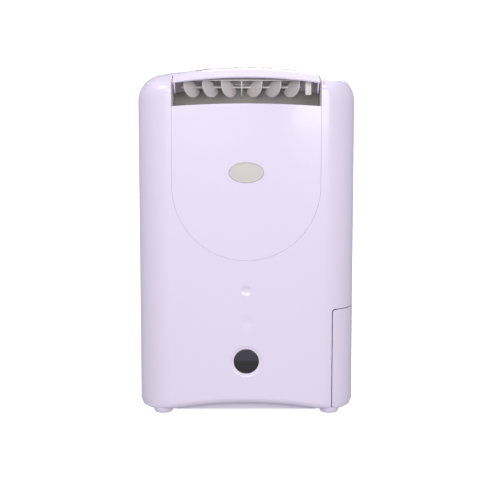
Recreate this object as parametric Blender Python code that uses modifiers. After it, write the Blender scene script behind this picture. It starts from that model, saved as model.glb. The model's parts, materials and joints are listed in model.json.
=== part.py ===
"""Compact desiccant dehumidifier: casing, swinging louvre, side-drawn tank, filter, rotor, fans and condenser.

Metres, +Z up, front facing -Y, origin at the bottom centre of the object's box. The louvre is modelled open.
"""

import math

import bmesh
import bpy
from mathutils import Matrix, Vector

# ---- driving dimensions -------------------------------------------------------------------------
MM = 0.001
WIDTH = 300 * MM
DEPTH = 178 * MM
HEIGHT = 479 * MM
LIP_REACH = 8.789 * MM  # how far the open louvre's lip stands in front of the casing
REAR_REACH = 2 * MM  # the cable gland stands behind the rear face
FRONT = -(DEPTH + LIP_REACH + REAR_REACH) / 2 + LIP_REACH  # Y of the front face at the centre line
REAR = FRONT + DEPTH
WALL = 2.5 * MM
GAP = 0.5 * MM  # between pieces that sit in each other
SEAM = 42 * MM  # depth of the joint between front and rear casing

CROWN_RADIUS = 709 * MM
BOW_RADIUS = 750 * MM  # the front face is slightly bowed in plan
TOP_CORNER = 35 * MM
SIDE_ROLL = (65 * MM, 45 * MM)  # depth and inset of the elliptical roll from front face to side
TOP_ROLL = (85 * MM, 24.5 * MM)
BOTTOM_ROLL = (12 * MM, 10 * MM)
REAR_SIDE_ROLL = (30 * MM, 26 * MM)
REAR_TOP_ROLL = (50 * MM, 22 * MM)
SKIRT = 6 * MM  # lowest point of the casing above the floor
ARCH_RISE = 10.3 * MM
ARCH_HALF = 102 * MM
BOTTOM_CORNER = (9 * MM, 6 * MM)

FASCIA_HALF = 101.4 * MM
FASCIA_ARC_Z = 318.5 * MM
FASCIA_TOP_Z = 430.7 * MM
FASCIA_TOP_DROP = 3.8 * MM

AXIS_Y = FRONT + 22.5 * MM  # the louvre's swing axis
AXIS_Z = 457 * MM
LOUVRE_OPEN = math.radians(64)
LOUVRE_HALF = FASCIA_HALF - 3.2 * MM
LOUVRE_REAR_RADIUS = 20.8 * MM
VANE_RADIUS = 18.8 * MM
VANE_TURN = math.radians(38)
VANE_CENTRE = -6.2 * MM
VANE_FIRST = 15.9 * MM
VANE_PITCH = 25.3 * MM

WINDOW_Z = 76.8 * MM
DIMPLES = ((175.7 * MM, 7.4 * MM, 1.6 * MM), (132.7 * MM, 9.8 * MM, 1.1 * MM))  # height, radius, depth
BADGE_Z = 337.6 * MM

TANK_SEAM_X = 118.3 * MM
TANK_TOP = 148 * MM
TANK_REAR = REAR - 34 * MM

FEET = [(x * MM, t * MM) for x in (-116, 116) for t in (27.2, 147)]

ROTOR_Z = 300 * MM
ROTOR_Y = FRONT + 112 * MM  # middle of the wheel
ROTOR_TEETH = 80
PINION_TEETH = 14
MODULE = 2.5 * MM
FAN_Z = 272 * MM
FAN_Y = FRONT + 47 * MM


# ---- materials and collections ------------------------------------------------------------------
def clear_scene():
    for obj in list(bpy.data.objects):
        bpy.data.objects.remove(obj)


def collection(name):
    made = bpy.data.collections.new(name)
    bpy.context.scene.collection.children.link(made)
    return made


def material(name, colour, roughness, metallic=0.0):
    made = bpy.data.materials.new(name)
    made.use_nodes = True
    shader = made.node_tree.nodes["Principled BSDF"]
    shader.inputs["Base Color"].default_value = (*colour, 1)
    shader.inputs["Roughness"].default_value = roughness
    shader.inputs["Metallic"].default_value = metallic
    return made


clear_scene()
PARTS = collection("dehumidifier")
CUTTERS = collection("cutters")
SHELL = material("casing_plastic", (0.80, 0.74, 0.88), 0.25)
DUCT = material("duct_plastic", (0.42, 0.40, 0.40), 0.5)
BLACK = material("smoked_plastic", (0.02, 0.02, 0.025), 0.1)
SILVER = material("badge_metal", (0.62, 0.60, 0.58), 0.4, 0.6)
CLEAR = material("tank_plastic", (0.55, 0.62, 0.70), 0.15)
RUBBER = material("rubber", (0.05, 0.05, 0.05), 0.8)
GREY = material("grey_plastic", (0.30, 0.30, 0.32), 0.5)
MEDIA = material("desiccant", (0.75, 0.72, 0.62), 0.9)
METAL = material("steel", (0.6, 0.6, 0.6), 0.35, 1.0)
BOARD = material("circuit_board", (0.03, 0.16, 0.06), 0.5)


# ---- modelling helpers --------------------------------------------------------------------------
def add(name, mesh, mat):
    """A new part; without a material it is a cutter."""
    obj = bpy.data.objects.new(name, mesh)
    if mat:
        obj.data.materials.append(mat)
        PARTS.objects.link(obj)
    else:
        hide(obj)
    return obj


def hide(obj):
    for owner in list(obj.users_collection):
        owner.objects.unlink(obj)
    CUTTERS.objects.link(obj)
    obj.hide_render = True
    obj.display_type = "WIRE"
    return obj


def mesh_from(bm, name):
    mesh = bpy.data.meshes.new(name)
    bmesh.ops.recalc_face_normals(bm, faces=bm.faces)
    bm.to_mesh(mesh)
    bm.free()
    mesh.set_sharp_from_angle(angle=math.radians(40))
    return mesh


def box(name, low, high, mat=None, bevel=0.0):
    low, high = Vector(low), Vector(high)
    size = high - low
    bm = bmesh.new()
    bmesh.ops.create_cube(bm, size=1, matrix=Matrix.Diagonal((*size, 1)))
    if bevel:
        bmesh.ops.bevel(bm, geom=bm.edges, offset=bevel, segments=2, profile=0.5, affect="EDGES")
    obj = add(name, mesh_from(bm, name), mat)
    obj.location = (low + high) / 2
    return obj


def cone(name, radii, length, centre, mat=None, along="Z", sides=24):
    """A cylinder or cone; the first radius is at the low end of its axis."""
    turn = {"X": Matrix.Rotation(math.pi / 2, 4, "Y"), "Y": Matrix.Rotation(-math.pi / 2, 4, "X")}
    bm = bmesh.new()
    bmesh.ops.create_cone(
        bm, cap_ends=True, segments=sides, radius1=radii[0], radius2=radii[1], depth=length,
        matrix=turn.get(along, Matrix.Identity(4)),
    )
    obj = add(name, mesh_from(bm, name), mat)
    obj.location = centre
    return obj


def cylinder(name, radius, length, centre, mat=None, along="Z", sides=24):
    return cone(name, (radius, radius), length, centre, mat, along, sides)


def slab(name, outlines, thickness, centre, mat=None, facing="Y"):
    """A flat outline (and its holes) given thickness: facing Y takes (x, z) points, facing X takes (y, z) points."""
    curve = bpy.data.curves.new(name, "CURVE")
    curve.dimensions = "2D"
    curve.fill_mode = "BOTH"
    curve.extrude = thickness / 2
    for points in outlines:
        spline = curve.splines.new("POLY")
        spline.points.add(len(points) - 1)
        spline.use_cyclic_u = True
        for point, (a, b) in zip(spline.points, points):
            point.co = (a, b, 0, 1)
    guide = bpy.data.objects.new(name + "_outline", curve)
    bpy.context.scene.collection.objects.link(guide)
    graph = bpy.context.evaluated_depsgraph_get()
    mesh = bpy.data.meshes.new_from_object(guide.evaluated_get(graph))
    bpy.data.objects.remove(guide)
    turn = {
        "Y": Matrix(((1, 0, 0), (0, 0, -1), (0, 1, 0))),
        "X": Matrix(((0, 0, 1), (1, 0, 0), (0, 1, 0))),
        "Z": Matrix.Identity(3),
    }[facing]
    bm = bmesh.new()
    bm.from_mesh(mesh)
    bmesh.ops.remove_doubles(bm, verts=bm.verts, dist=1e-6)
    bmesh.ops.transform(bm, matrix=turn.to_4x4(), verts=bm.verts)
    obj = add(name, mesh_from(bm, name), mat)
    obj.location = centre
    return obj


def boolean(obj, other, operation):
    modifier = obj.modifiers.new(operation.lower() + "_" + other.name, "BOOLEAN")
    modifier.operation = operation
    modifier.object = other
    return obj


def cut(obj, *cutters):
    for cutter in cutters:
        boolean(obj, cutter, "DIFFERENCE")
    return obj


def join(obj, *others):
    for other in others:
        boolean(obj, hide(other), "UNION")
    return obj


def arc(centre, radii, start, end, steps):
    """Points on an ellipse from one angle to another, in degrees, both ends included."""
    angles = [math.radians(start + (end - start) * i / steps) for i in range(steps + 1)]
    return [(centre[0] + radii[0] * math.cos(a), centre[1] + radii[1] * math.sin(a)) for a in angles]


def circle(centre, radius, steps):
    return arc(centre, (radius, radius), 0, 360 * (1 - 1 / steps), steps - 1)


def rounded(low, high, radius, steps=4):
    """Outline of a rectangle with round corners."""
    r = (radius, radius)
    corners = (
        ((high[0] - radius, high[1] - radius), 0), ((low[0] + radius, high[1] - radius), 90),
        ((low[0] + radius, low[1] + radius), 180), ((high[0] - radius, low[1] + radius), 270),
    )
    return [p for centre, start in corners for p in arc(centre, r, start, start + 90, steps)]


# ---- the casing's outer form --------------------------------------------------------------------
def quarter_inset(t, depth, inset):
    """Inset of an elliptical roll at depth t, which fades to nothing at its full depth."""
    left = max(0.0, 1 - t / depth)
    return inset * (1 - math.sqrt(1 - left * left))


def side_inset(t):
    return quarter_inset(t, *SIDE_ROLL) + quarter_inset(DEPTH - t, *REAR_SIDE_ROLL)


def top_inset(t):
    return quarter_inset(t, *TOP_ROLL) + quarter_inset(DEPTH - t, *REAR_TOP_ROLL)


def bottom_inset(t):
    return quarter_inset(t, *BOTTOM_ROLL) + quarter_inset(DEPTH - t, *BOTTOM_ROLL)


def skirt_z(x):
    """Height of the casing's lower edge: level near the corners, arched between the feet."""
    rise = ARCH_RISE * (1 - (x / ARCH_HALF) ** 2)
    return SKIRT + (rise + math.sqrt(rise * rise + (1.5 * MM) ** 2)) / 2


def section(t):
    """The casing's four runs of (x, z) points at depth t: left and right upwards, bottom and top to the right."""
    side, half = side_inset(t), WIDTH / 2 - side_inset(t)
    crown = HEIGHT - top_inset(t)
    corner = TOP_CORNER - 0.7 * side
    tilt = 0.0
    for _ in range(4):
        join_x = half - corner + corner * math.sin(tilt)
        tilt = math.atan(join_x / CROWN_RADIUS)
    corner_x, corner_z = half - corner, crown - join_x**2 / (2 * CROWN_RADIUS) - corner * math.cos(tilt)
    foot_x = half - max(BOTTOM_CORNER[0] - 0.6 * side, 6 * MM)
    lift = bottom_inset(t)
    foot_z = skirt_z(foot_x) + BOTTOM_CORNER[1] + lift

    middle = math.pi / 4 + tilt / 2
    turns = [tilt + (math.pi / 2 - tilt) * i / 6 for i in range(7)]
    shoulder = [(corner_x + corner * math.sin(a), corner_z + corner * math.cos(a)) for a in turns]
    heel = arc((foot_x, foot_z), (half - foot_x, BOTTOM_CORNER[1]), -90, 0, 4)
    wall = [(half, foot_z + (corner_z - foot_z) * i / 4) for i in range(1, 4)]
    right = heel[2:] + wall + shoulder[:2:-1]
    top_right = shoulder[3::-1]
    crown_right = [(join_x * (1 - i / 4), crown - (join_x * (1 - i / 4)) ** 2 / (2 * CROWN_RADIUS)) for i in range(1, 5)]
    sole_right = [(foot_x * i / 5, skirt_z(foot_x * i / 5) + lift) for i in range(5)] + heel[:3]
    half_top = crown_right[::-1] + top_right[::-1]

    def mirrored(points):
        return [(-x, z) for x, z in reversed(points)]

    left = [(-x, z) for x, z in right]
    return left, right, mirrored(sole_right[1:]) + sole_right, mirrored(half_top[1:]) + half_top


def bowed(x, t):
    """Y of the casing's surface at depth t: the front face bows back towards its sides."""
    return FRONT + t + x * x / (2 * BOW_RADIUS) * max(0.0, 1 - t / SEAM)


def casing_skin(name, depths, mat=None, front_cap=False, rear_cap=False):
    """The outer form between the given depths as an open sheet, thickened inwards."""
    bm = bmesh.new()
    rings = []
    for t in depths:
        left, right, bottom, top = section(t)
        loop = left + top[1:] + right[-2::-1] + bottom[-2:0:-1]
        rings.append([bm.verts.new((x, bowed(x, t), z)) for x, z in loop])
    count = len(rings[0])
    for near, far in zip(rings, rings[1:]):
        for i in range(count):
            j = (i + 1) % count
            bm.faces.new((near[i], near[j], far[j], far[i]))
    if front_cap:
        fill_cap(bm, depths[0], rings[0])
    if rear_cap:
        fill_cap(bm, depths[-1], rings[-1])
    obj = add(name, mesh_from(bm, name), mat)
    solid = obj.modifiers.new("wall", "SOLIDIFY")
    solid.thickness = WALL
    solid.offset = -1
    solid.use_even_offset = False
    obj.modifiers.new("flat_faces", "TRIANGULATE")
    return obj


def fill_cap(bm, t, ring):
    """Closes one end of the form with a grid between its four runs of points."""
    left, right, bottom, top = section(t)
    rows, columns = len(left) - 1, len(top) - 1
    grid = {}
    for i in range(rows + 1):
        grid[i, 0] = ring[i]
        grid[i, columns] = ring[rows + columns + rows - i]
    for j in range(columns + 1):
        grid[rows, j] = ring[rows + j]
        grid[0, j] = ring[-j] if j else ring[0]
    for i in range(1, rows):
        for j in range(1, columns):
            v, u = i / rows, j / columns
            point = [
                (1 - u) * left[i][k] + u * right[i][k] + (1 - v) * bottom[j][k] + v * top[j][k]
                - (1 - u) * (1 - v) * left[0][k] - u * (1 - v) * right[0][k]
                - (1 - u) * v * left[-1][k] - u * v * right[-1][k]
                for k in range(2)
            ]
            grid[i, j] = bm.verts.new((point[0], bowed(point[0], t), point[1]))
    for i in range(rows):
        for j in range(columns):
            bm.faces.new((grid[i, j], grid[i, j + 1], grid[i + 1, j + 1], grid[i + 1, j]))


FRONT_DEPTHS = [0.0] + [SIDE_ROLL[0] * (1 - math.cos(math.radians(a))) for a in (14, 28, 42, 56)] + [SEAM]
REAR_DEPTHS = [SEAM + 1.0 * MM, 60 * MM, 85 * MM, 115 * MM, 148 * MM] + [
    DEPTH - REAR_SIDE_ROLL[0] * (1 - math.cos(math.radians(a))) for a in (60, 38, 18, 0)
]
WHOLE_DEPTHS = FRONT_DEPTHS + REAR_DEPTHS[1:]


def sheet(name, x_half, first, last, inner, outer, top=True, mat=None):
    """A solid that follows the crown (first and last are depths) or the bowed front (heights)."""
    bm = bmesh.new()
    columns, rows = 10, 4
    grid = []
    for i in range(rows + 1):
        along = first + (last - first) * i / rows
        row = []
        for j in range(columns + 1):
            x = x_half * (2 * j / columns - 1)
            if top:
                row.append(bm.verts.new((x, FRONT + along, crown_z(x, along))))
            else:
                row.append(bm.verts.new((x, bowed(x, 0), along)))
        grid.append(row)
    for near, far in zip(grid, grid[1:]):
        for j in range(columns):
            bm.faces.new((near[j], near[j + 1], far[j + 1], far[j]))
    mesh = mesh_from(bm, name)
    up = mesh.polygons[0].normal.z if top else -mesh.polygons[0].normal.y
    if up < 0:
        mesh.flip_normals()
    obj = add(name, mesh, mat)
    solid = obj.modifiers.new("thickness", "SOLIDIFY")
    solid.thickness = inner + outer
    solid.offset = (outer - inner) / (inner + outer)
    obj.modifiers.new("flat_faces", "TRIANGULATE")
    return obj


def crown_z(x, t):
    return HEIGHT - top_inset(t) - x * x / (2 * CROWN_RADIUS)


def common(obj, other):
    return boolean(obj, other if other.hide_render else hide(other), "INTERSECT")


def ramp(points):
    """A side view given as (depth, z) turned into (y, z)."""
    return [(FRONT + t, z) for t, z in points]


def prism(name, low, high, radius, thickness, centre_t, mat=None):
    """A round-cornered rectangle of (x, z) with its thickness along the depth."""
    return slab(name, [rounded(low, high, radius)], thickness, (0, FRONT + centre_t, 0), mat)


def block(name, x, t, z, mat=None, bevel=0.0):
    return box(name, (x[0], FRONT + t[0], z[0]), (x[1], FRONT + t[1], z[1]), mat, bevel)


# ---- cutters that split the casing --------------------------------------------------------------
def fascia_outline(inset, top):
    half = FASCIA_HALF - inset
    return [(half, top), (-half, top)] + arc((0, FASCIA_ARC_Z), (half, half), 180, 360, 32)


def fascia_top(inset):
    """Closed outline under the fascia's arched top edge."""
    half = FASCIA_HALF - inset
    xs = [half * (1 - i / 8) for i in range(17)]
    top = [(x, FASCIA_TOP_Z - inset - FASCIA_TOP_DROP * (x / FASCIA_HALF) ** 2) for x in xs]
    return top + arc((0, FASCIA_ARC_Z), (half, half), 180, 360, 32)


def louvre_profile(radius, low):
    """Side view of the louvre's sweep in front of its rear edge."""
    rear = arc((AXIS_Y, AXIS_Z), (radius, radius), -35, 62, 12)
    return [(FRONT - 20 * MM, low), (rear[0][0], low)] + rear + [
        (rear[-1][0] + 12 * MM, AXIS_Z + 45 * MM), (FRONT - 20 * MM, AXIS_Z + 45 * MM)
    ]


def outlet_cut(name, half, radius, low):
    return slab(name, [louvre_profile(radius, low)], 2 * half, (0, 0, 0), facing="X")


def tank_outline(gap):
    """Front view of the tank cover: round corners at the side that faces the window."""
    x, z = TANK_SEAM_X + gap, TANK_TOP - gap
    r = (4.5 * MM, 4.5 * MM)
    return [(170 * MM, z)] + arc((x + r[0], z - r[0]), r, 90, 180, 5) + [(x, -20 * MM), (170 * MM, -20 * MM)]


def tray_outline(gap):
    """Plan of the base tray: two round-cornered pads in front carry the front feet."""
    front, step, rear = 14 * MM - gap, 25 * MM - gap, 161.3 * MM + gap
    wide, narrow, r = 118.4 * MM + gap, 97.5 * MM - gap, 12 * MM
    left = arc((-wide + r, front + r), (r, r), 180, 270, 4) + [(-narrow, front), (-narrow, step)]
    right = [(-x, t) for x, t in reversed(left)]
    return [(x, FRONT + t) for x, t in left + right + [(wide, rear), (-wide, rear)]]


def casing_openings():
    """Cutters shared by the front and rear casing."""
    depth = TANK_REAR - FRONT
    tank = slab("tank_opening", [tank_outline(0)], depth + 30 * MM, (0, FRONT + depth / 2 - 15 * MM, 0))
    tray = slab("tray_opening", [tray_outline(0.4 * MM)], 32 * MM, (0, 0, 8.4 * MM), facing="Z")
    pockets = [
        cylinder(f"foot_pocket_{i}", 13.9 * MM, 20 * MM, (x, FRONT + t, -0.8 * MM))
        for i, (x, t) in enumerate(FEET)
    ]
    return tank, tray, pockets


TANK_OPENING, TRAY_OPENING, FOOT_POCKETS = casing_openings()

# ---- front casing, fascia, badge and window -----------------------------------------------------
front_casing = casing_skin("front_casing", FRONT_DEPTHS, SHELL, front_cap=True)
window_boss = cylinder(
    "window_boss", 24 * MM, 6 * MM, (0, FRONT + 4.4 * MM, WINDOW_Z), SHELL, along="Y", sides=36
)
join(front_casing, window_boss)
dish = cone("window_dish", (21.6 * MM, 16.6 * MM), 5 * MM, (0, FRONT + 1.9 * MM, WINDOW_Z), None, "Y", 36)
bore = cylinder("window_bore", 17.2 * MM, 30 * MM, (0, FRONT + 15 * MM + 3 * MM, WINDOW_Z), None, "Y", 36)
dimples = []
for number, (height, radius, depth) in enumerate(DIMPLES):
    ball = (radius**2 + depth**2) / (2 * depth)
    bm = bmesh.new()
    bmesh.ops.create_uvsphere(bm, u_segments=24, v_segments=40, radius=ball)
    turn = Matrix.Rotation(math.pi / 2, 4, "X")
    bmesh.ops.transform(bm, matrix=turn, verts=bm.verts)
    dimple = add(f"dimple_cut_{number}", mesh_from(bm, f"dimple_cut_{number}"), None)
    dimple.location = (0, FRONT + depth - ball, height)
    dimples.append(dimple)
fascia_cut = slab("fascia_cut", [fascia_outline(0, 445 * MM)], 60 * MM, (0, FRONT, 0))
outlet = outlet_cut("outlet_cut", FASCIA_HALF, LOUVRE_REAR_RADIUS + 0.6 * MM, 425 * MM)
cut(front_casing, fascia_cut, outlet, TANK_OPENING, TRAY_OPENING, dish, bore, *dimples, *FOOT_POCKETS)

front_fascia = casing_skin("front_fascia", FRONT_DEPTHS, SHELL, front_cap=True)
common(front_fascia, slab("fascia_limit", [fascia_top(0.3 * MM)], 60 * MM, (0, FRONT, 0), SHELL))
flange_front = [(x * MM, bowed(x * MM, 1 * MM)) for x in range(-96, 97, 12)]
flange_rear = [(96 * MM, FRONT + 10.2 * MM), (-96 * MM, FRONT + 10.2 * MM)]
join(front_fascia, slab("fascia_flange", [flange_front + flange_rear], 2.5 * MM, (0, 0, 424.2 * MM), SHELL, "Z"))
badge_recess = slab(
    "badge_recess", [arc((0, BADGE_Z), (23.8 * MM, 14.05 * MM), 0, 350, 35)], 5 * MM, (0, FRONT - 0.9 * MM, 0)
)
cut(front_fascia, badge_recess)

badge_plate = slab(
    "badge_plate", [arc((0, BADGE_Z), (23.5 * MM, 13.75 * MM), 0, 350, 35)], 2.2 * MM, (0, FRONT + 0.45 * MM, 0), SILVER
)
edge = badge_plate.modifiers.new("edge", "BEVEL")
edge.width, edge.segments, edge.limit_method, edge.angle_limit = 0.5 * MM, 2, "ANGLE", math.radians(60)

window_lens = cylinder("window_lens", 16.9 * MM, 3.4 * MM, (0, FRONT + 4.9 * MM, WINDOW_Z), BLACK, "Y", 36)
lens_edge = window_lens.modifiers.new("edge", "BEVEL")
lens_edge.width, lens_edge.segments, lens_edge.limit_method = 1.2 * MM, 1, "ANGLE"
lens_edge.angle_limit = math.radians(60)

# ---- rear casing --------------------------------------------------------------------------------
PANEL_HALF, PANEL_T = 70 * MM, (56 * MM, 100 * MM)
ARM = (80 * MM, 92 * MM)
GRIP_T = (132 * MM, 146 * MM)
PIVOT_T, PIVOT_Z = 66 * MM, 468.4 * MM
SCREWS = [(side * 96 * MM, z * MM) for side in (-1, 1) for z in (170, 441)]
GLAND = (-96 * MM, 62 * MM)


def bail(name, grow, thickness, centre_z, mat=None):
    """The carry handle's U in plan, grown by a clearance."""
    outer, inner, rear = ARM[1] + grow, ARM[0] - grow, GRIP_T[1] + grow
    front = PIVOT_T - 4.5 * MM - 2.5 * grow  # the arm's end turns here as the handle folds up
    r = 10 * MM
    points = [(inner, front), (outer, front)] + arc((outer - r, rear - r), (r, r), 0, 90, 5)
    points += [(-x, t) for x, t in reversed(points)] + [(-inner, GRIP_T[0] - grow), (inner, GRIP_T[0] - grow)]
    return slab(name, [[(x, FRONT + t) for x, t in points]], thickness, (0, 0, centre_z), mat, facing="Z")


rear_casing = casing_skin("rear_casing", REAR_DEPTHS, SHELL, rear_cap=True)
join(rear_casing, block("intake_collar", (-109 * MM, 109 * MM), (163 * MM, 176 * MM), (183 * MM, 431 * MM), SHELL))
trench_body = sheet("trench_body", 99 * MM, 50 * MM, 156 * MM, 14 * MM, -1 * MM, mat=SHELL)
common(trench_body, bail("trench_outer", 3 * MM, 80 * MM, HEIGHT))
join(rear_casing, trench_body)
join(rear_casing, sheet("pocket_body", 51 * MM, 109 * MM, 153 * MM, 23 * MM, -1 * MM, mat=SHELL))
for number, (x, z) in enumerate(SCREWS):
    join(rear_casing, cylinder(f"boss_{number}", 7 * MM, 16 * MM, (x, REAR - 10 * MM, z), SHELL, "Y", 14))
trench = sheet("trench", 99 * MM, 50 * MM, 156 * MM, 11.9 * MM, 6 * MM)
common(trench, bail("trench_inner", 0.8 * MM, 80 * MM, HEIGHT))
panel_hole = block("panel_hole", (-PANEL_HALF, PANEL_HALF), PANEL_T, (465 * MM, 490 * MM))
cut(
    rear_casing, trench, sheet("finger_pocket", 48 * MM, 112 * MM, 150 * MM, 20 * MM, 6 * MM), panel_hole,
    block("intake_pocket", (-106 * MM, 106 * MM), (168.2 * MM, 190 * MM), (186 * MM, 428 * MM)),
    block("intake_hole", (-98 * MM, 98 * MM), (150 * MM, 190 * MM), (194 * MM, 420 * MM)),
    TANK_OPENING, TRAY_OPENING, *FOOT_POCKETS,
    cylinder("gland_hole", 8.3 * MM, 30 * MM, (GLAND[0], REAR, GLAND[1]), None, "Y", 24),
)
PIVOT_BORES = [
    cylinder(f"pivot_bore_{label}", 2.7 * MM, 30 * MM, (side * 88 * MM, FRONT + PIVOT_T, PIVOT_Z), None, "X", 20)
    for side, label in ((-1, "left"), (1, "right"))
]
cut(rear_casing, *PIVOT_BORES)
for number, (x, z) in enumerate(SCREWS):
    head = cylinder(f"head_bore_{number}", 4.3 * MM, 12 * MM, (x, REAR, z), None, "Y", 20)
    shank = cylinder(f"shank_bore_{number}", 2 * MM, 17 * MM, (x, REAR - 9.4 * MM, z), None, "Y", 12)
    cut(rear_casing, join(head, shank))
    screw = cylinder(f"casing_screw_{number + 1}", 4 * MM, 2.4 * MM, (x, REAR - 4.5 * MM, z), METAL, "Y", 20)
    join(screw, cylinder(f"shank_{number}", 1.7 * MM, 12 * MM, (x, REAR - 11 * MM, z), METAL, "Y", 12))
    cut(screw, cylinder(f"driver_{number}", 1.4 * MM, 2 * MM, (x, REAR - 3.3 * MM, z), None, "Y", 6))

# ---- carry handle -------------------------------------------------------------------------------
carry_handle = sheet("carry_handle", 99 * MM, 50 * MM, 156 * MM, 9.4 * MM, -0.4 * MM, mat=SHELL)
common(carry_handle, bail("handle_plan", 0, 80 * MM, HEIGHT))
cut(carry_handle, *PIVOT_BORES)
for side, label in ((-1, "left"), (1, "right")):
    x = side * 88 * MM
    cylinder(f"handle_pin_{label}", 2.4 * MM, 13 * MM, (x, FRONT + PIVOT_T, PIVOT_Z), METAL, "X", 20)

# ---- control panel ------------------------------------------------------------------------------
BUTTON_X = [(-52 + 20 * i) * MM for i in range(5)]
BUTTON_T, BUTTON_R, LENS_T = 84 * MM, 6.5 * MM, 65 * MM
control_panel = sheet("control_panel", PANEL_HALF - 0.4 * MM, PANEL_T[0] + 0.4 * MM, PANEL_T[1] - 0.4 * MM,
                      2.6 * MM, 0.0, mat=BLACK)
for number, x in enumerate(BUTTON_X):
    z = crown_z(x, BUTTON_T)
    cut(control_panel, cylinder(f"button_hole_{number}", BUTTON_R + 0.35 * MM, 20 * MM, (x, FRONT + BUTTON_T, z)))
    cap = cylinder(f"button_{number + 1}", BUTTON_R, 6 * MM, (x, FRONT + BUTTON_T, z - 1.8 * MM), SHELL)
    cap_edge = cap.modifiers.new("edge", "BEVEL")
    cap_edge.width, cap_edge.segments, cap_edge.limit_method = 0.6 * MM, 1, "ANGLE"
indicator_z = crown_z(0, LENS_T)
cut(control_panel, block("indicator_hole", (-45.3 * MM, 45.3 * MM), (LENS_T - 3.3 * MM, LENS_T + 3.3 * MM),
                         (465 * MM, 490 * MM)))
indicator_lens = sheet("indicator_lens", 45 * MM, LENS_T - 3 * MM, LENS_T + 3 * MM, 2.2 * MM, 0.0, mat=GREY)
control_board = block("control_board", (-64 * MM, 64 * MM), (60 * MM, 98 * MM), (459 * MM, 460.6 * MM), BOARD)

# ---- louvre and its vanes, built closed and then swung open -------------------------------------
louvre_shell = casing_skin("louvre_shell", FRONT_DEPTHS, SHELL, front_cap=True)
common(louvre_shell, outlet_cut("louvre_limit", LOUVRE_HALF, LOUVRE_REAR_RADIUS, 420 * MM))
below = [(x, z + 0.9 * MM) for x, z in fascia_top(-2 * MM)]
cut(louvre_shell, slab("below_louvre", [below], 80 * MM, (0, FRONT, 0)))
SWING = Matrix.Rotation(-LOUVRE_OPEN, 4, "X")
AXIS = Vector((0, AXIS_Y, AXIS_Z))


def swung_open(source, name, mat):
    """A copy of the evaluated shape, turned about the louvre's axis, which becomes its origin."""
    graph = bpy.context.evaluated_depsgraph_get()
    mesh = bpy.data.meshes.new_from_object(source.evaluated_get(graph))
    mesh.transform(Matrix.Translation(-AXIS) @ source.matrix_world)
    mesh.transform(SWING)
    mesh.name = name
    mesh.materials.clear()
    obj = add(name, mesh, mat)
    obj.location = AXIS
    return obj


bpy.context.view_layer.update()
louvre = swung_open(louvre_shell, "louvre", SHELL)
hide(louvre_shell)
CHEEK = arc((0, 0), (14 * MM, 14 * MM), 180, 318, 10) + [
    (y * MM, z * MM) for y, z in ((10.7, -4), (4.5, 1.5), (-3, 6), (-7, 8), (-14, 7))
]
for side, label in ((-1, "left"), (1, "right")):
    outline = [(AXIS_Y + y, AXIS_Z + z) for y, z in CHEEK]
    middle = side * (LOUVRE_HALF - 1.2 * MM)
    join(louvre, slab(f"cheek_{label}", [outline], 2 * MM, (middle, 0, 0), SHELL, facing="X"))
    join(louvre, cylinder(f"louvre_pin_{label}", 1.6 * MM, 4.4 * MM, (side * 99.6 * MM, AXIS_Y, AXIS_Z), SHELL, "X", 16))

vane_bar = box(
    "vane_grille", (VANE_CENTRE - 82 * MM, AXIS_Y + 3.5 * MM, AXIS_Z - 6.5 * MM),
    (VANE_CENTRE + 82 * MM, AXIS_Y + 6 * MM, AXIS_Z - 4 * MM), DUCT
)
vane_bar.location = AXIS + Vector((VANE_CENTRE, 4.75 * MM, -5.25 * MM))
join(vane_bar, box(
    "vane_top", (-93 * MM, AXIS_Y - 16 * MM, AXIS_Z + 3.7 * MM),
    (93 * MM, AXIS_Y - 7.5 * MM, AXIS_Z + 5.4 * MM), DUCT
))
D_SHAPE = arc((0, 0), (VANE_RADIUS, VANE_RADIUS), 168, 322, 12) + [
    (y * MM, z * MM) for y, z in ((10, -6), (3, 0.3), (-4.5, 4.3))
]
for number in range(-3, 4):
    offset = (VANE_FIRST + VANE_PITCH * (abs(number) - 1)) * (1 if number > 0 else -1) if number else 0
    angle = VANE_TURN * ((number > 0) - (number < 0))
    vane = slab(f"vane_{number + 4}", [D_SHAPE], 1.6 * MM, (VANE_CENTRE + offset, AXIS_Y, AXIS_Z), DUCT, facing="X")
    vane.rotation_euler = (0, 0, angle)
    join(vane_bar, vane)
join(vane_bar, box(
    "vane_tab", (79.5 * MM, AXIS_Y - 15.5 * MM, AXIS_Z - 15.4 * MM),
    (87.5 * MM, AXIS_Y - 13.5 * MM, AXIS_Z + 4.6 * MM), DUCT
))

# ---- outlet duct and louvre motor ---------------------------------------------------------------
# The rear wall stops short of the louvre's rear edge as it swings.
DUCT_REAR = arc((28 * MM, 400 * MM), (44 * MM, 65 * MM), 0, 67, 8)
duct_inner = [(26.2 * MM, 385 * MM), (72 * MM, 385 * MM)] + DUCT_REAR + [
    (t * MM, z * MM) for t, z in ((52, 460), (52, 470), (0, 470), (0, 429), (12, 427))
]
duct_outer = [(22 * MM, 392 * MM), (74.5 * MM, 392 * MM)] + arc(
    (28 * MM, 400 * MM), (46.5 * MM, 67.5 * MM), 0, 74, 8
) + [(t * MM, z * MM) for t, z in ((38, 463), (25.7, 460.2), (22.5, 459.2), (16.9, 455.2), (12.3, 450.2), (10.6, 426.4))]
outlet_duct = slab("outlet_duct", [ramp(duct_outer)], 204 * MM, (0, 0, 0), DUCT, facing="X")
cut(
    outlet_duct, slab("duct_space", [ramp(duct_inner)], 199.2 * MM, (0, 0, 0), facing="X"),
    cylinder("louvre_bore_left", 1.9 * MM, 8 * MM, (-101 * MM, AXIS_Y, AXIS_Z), None, "X", 16),
    cylinder("louvre_bore_right", 1.9 * MM, 8 * MM, (101 * MM, AXIS_Y, AXIS_Z), None, "X", 16),
)
louvre_motor = cylinder("louvre_motor", 10 * MM, 13 * MM, (109 * MM, FRONT + 36 * MM, 436 * MM), GREY, "X", 28)
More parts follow.
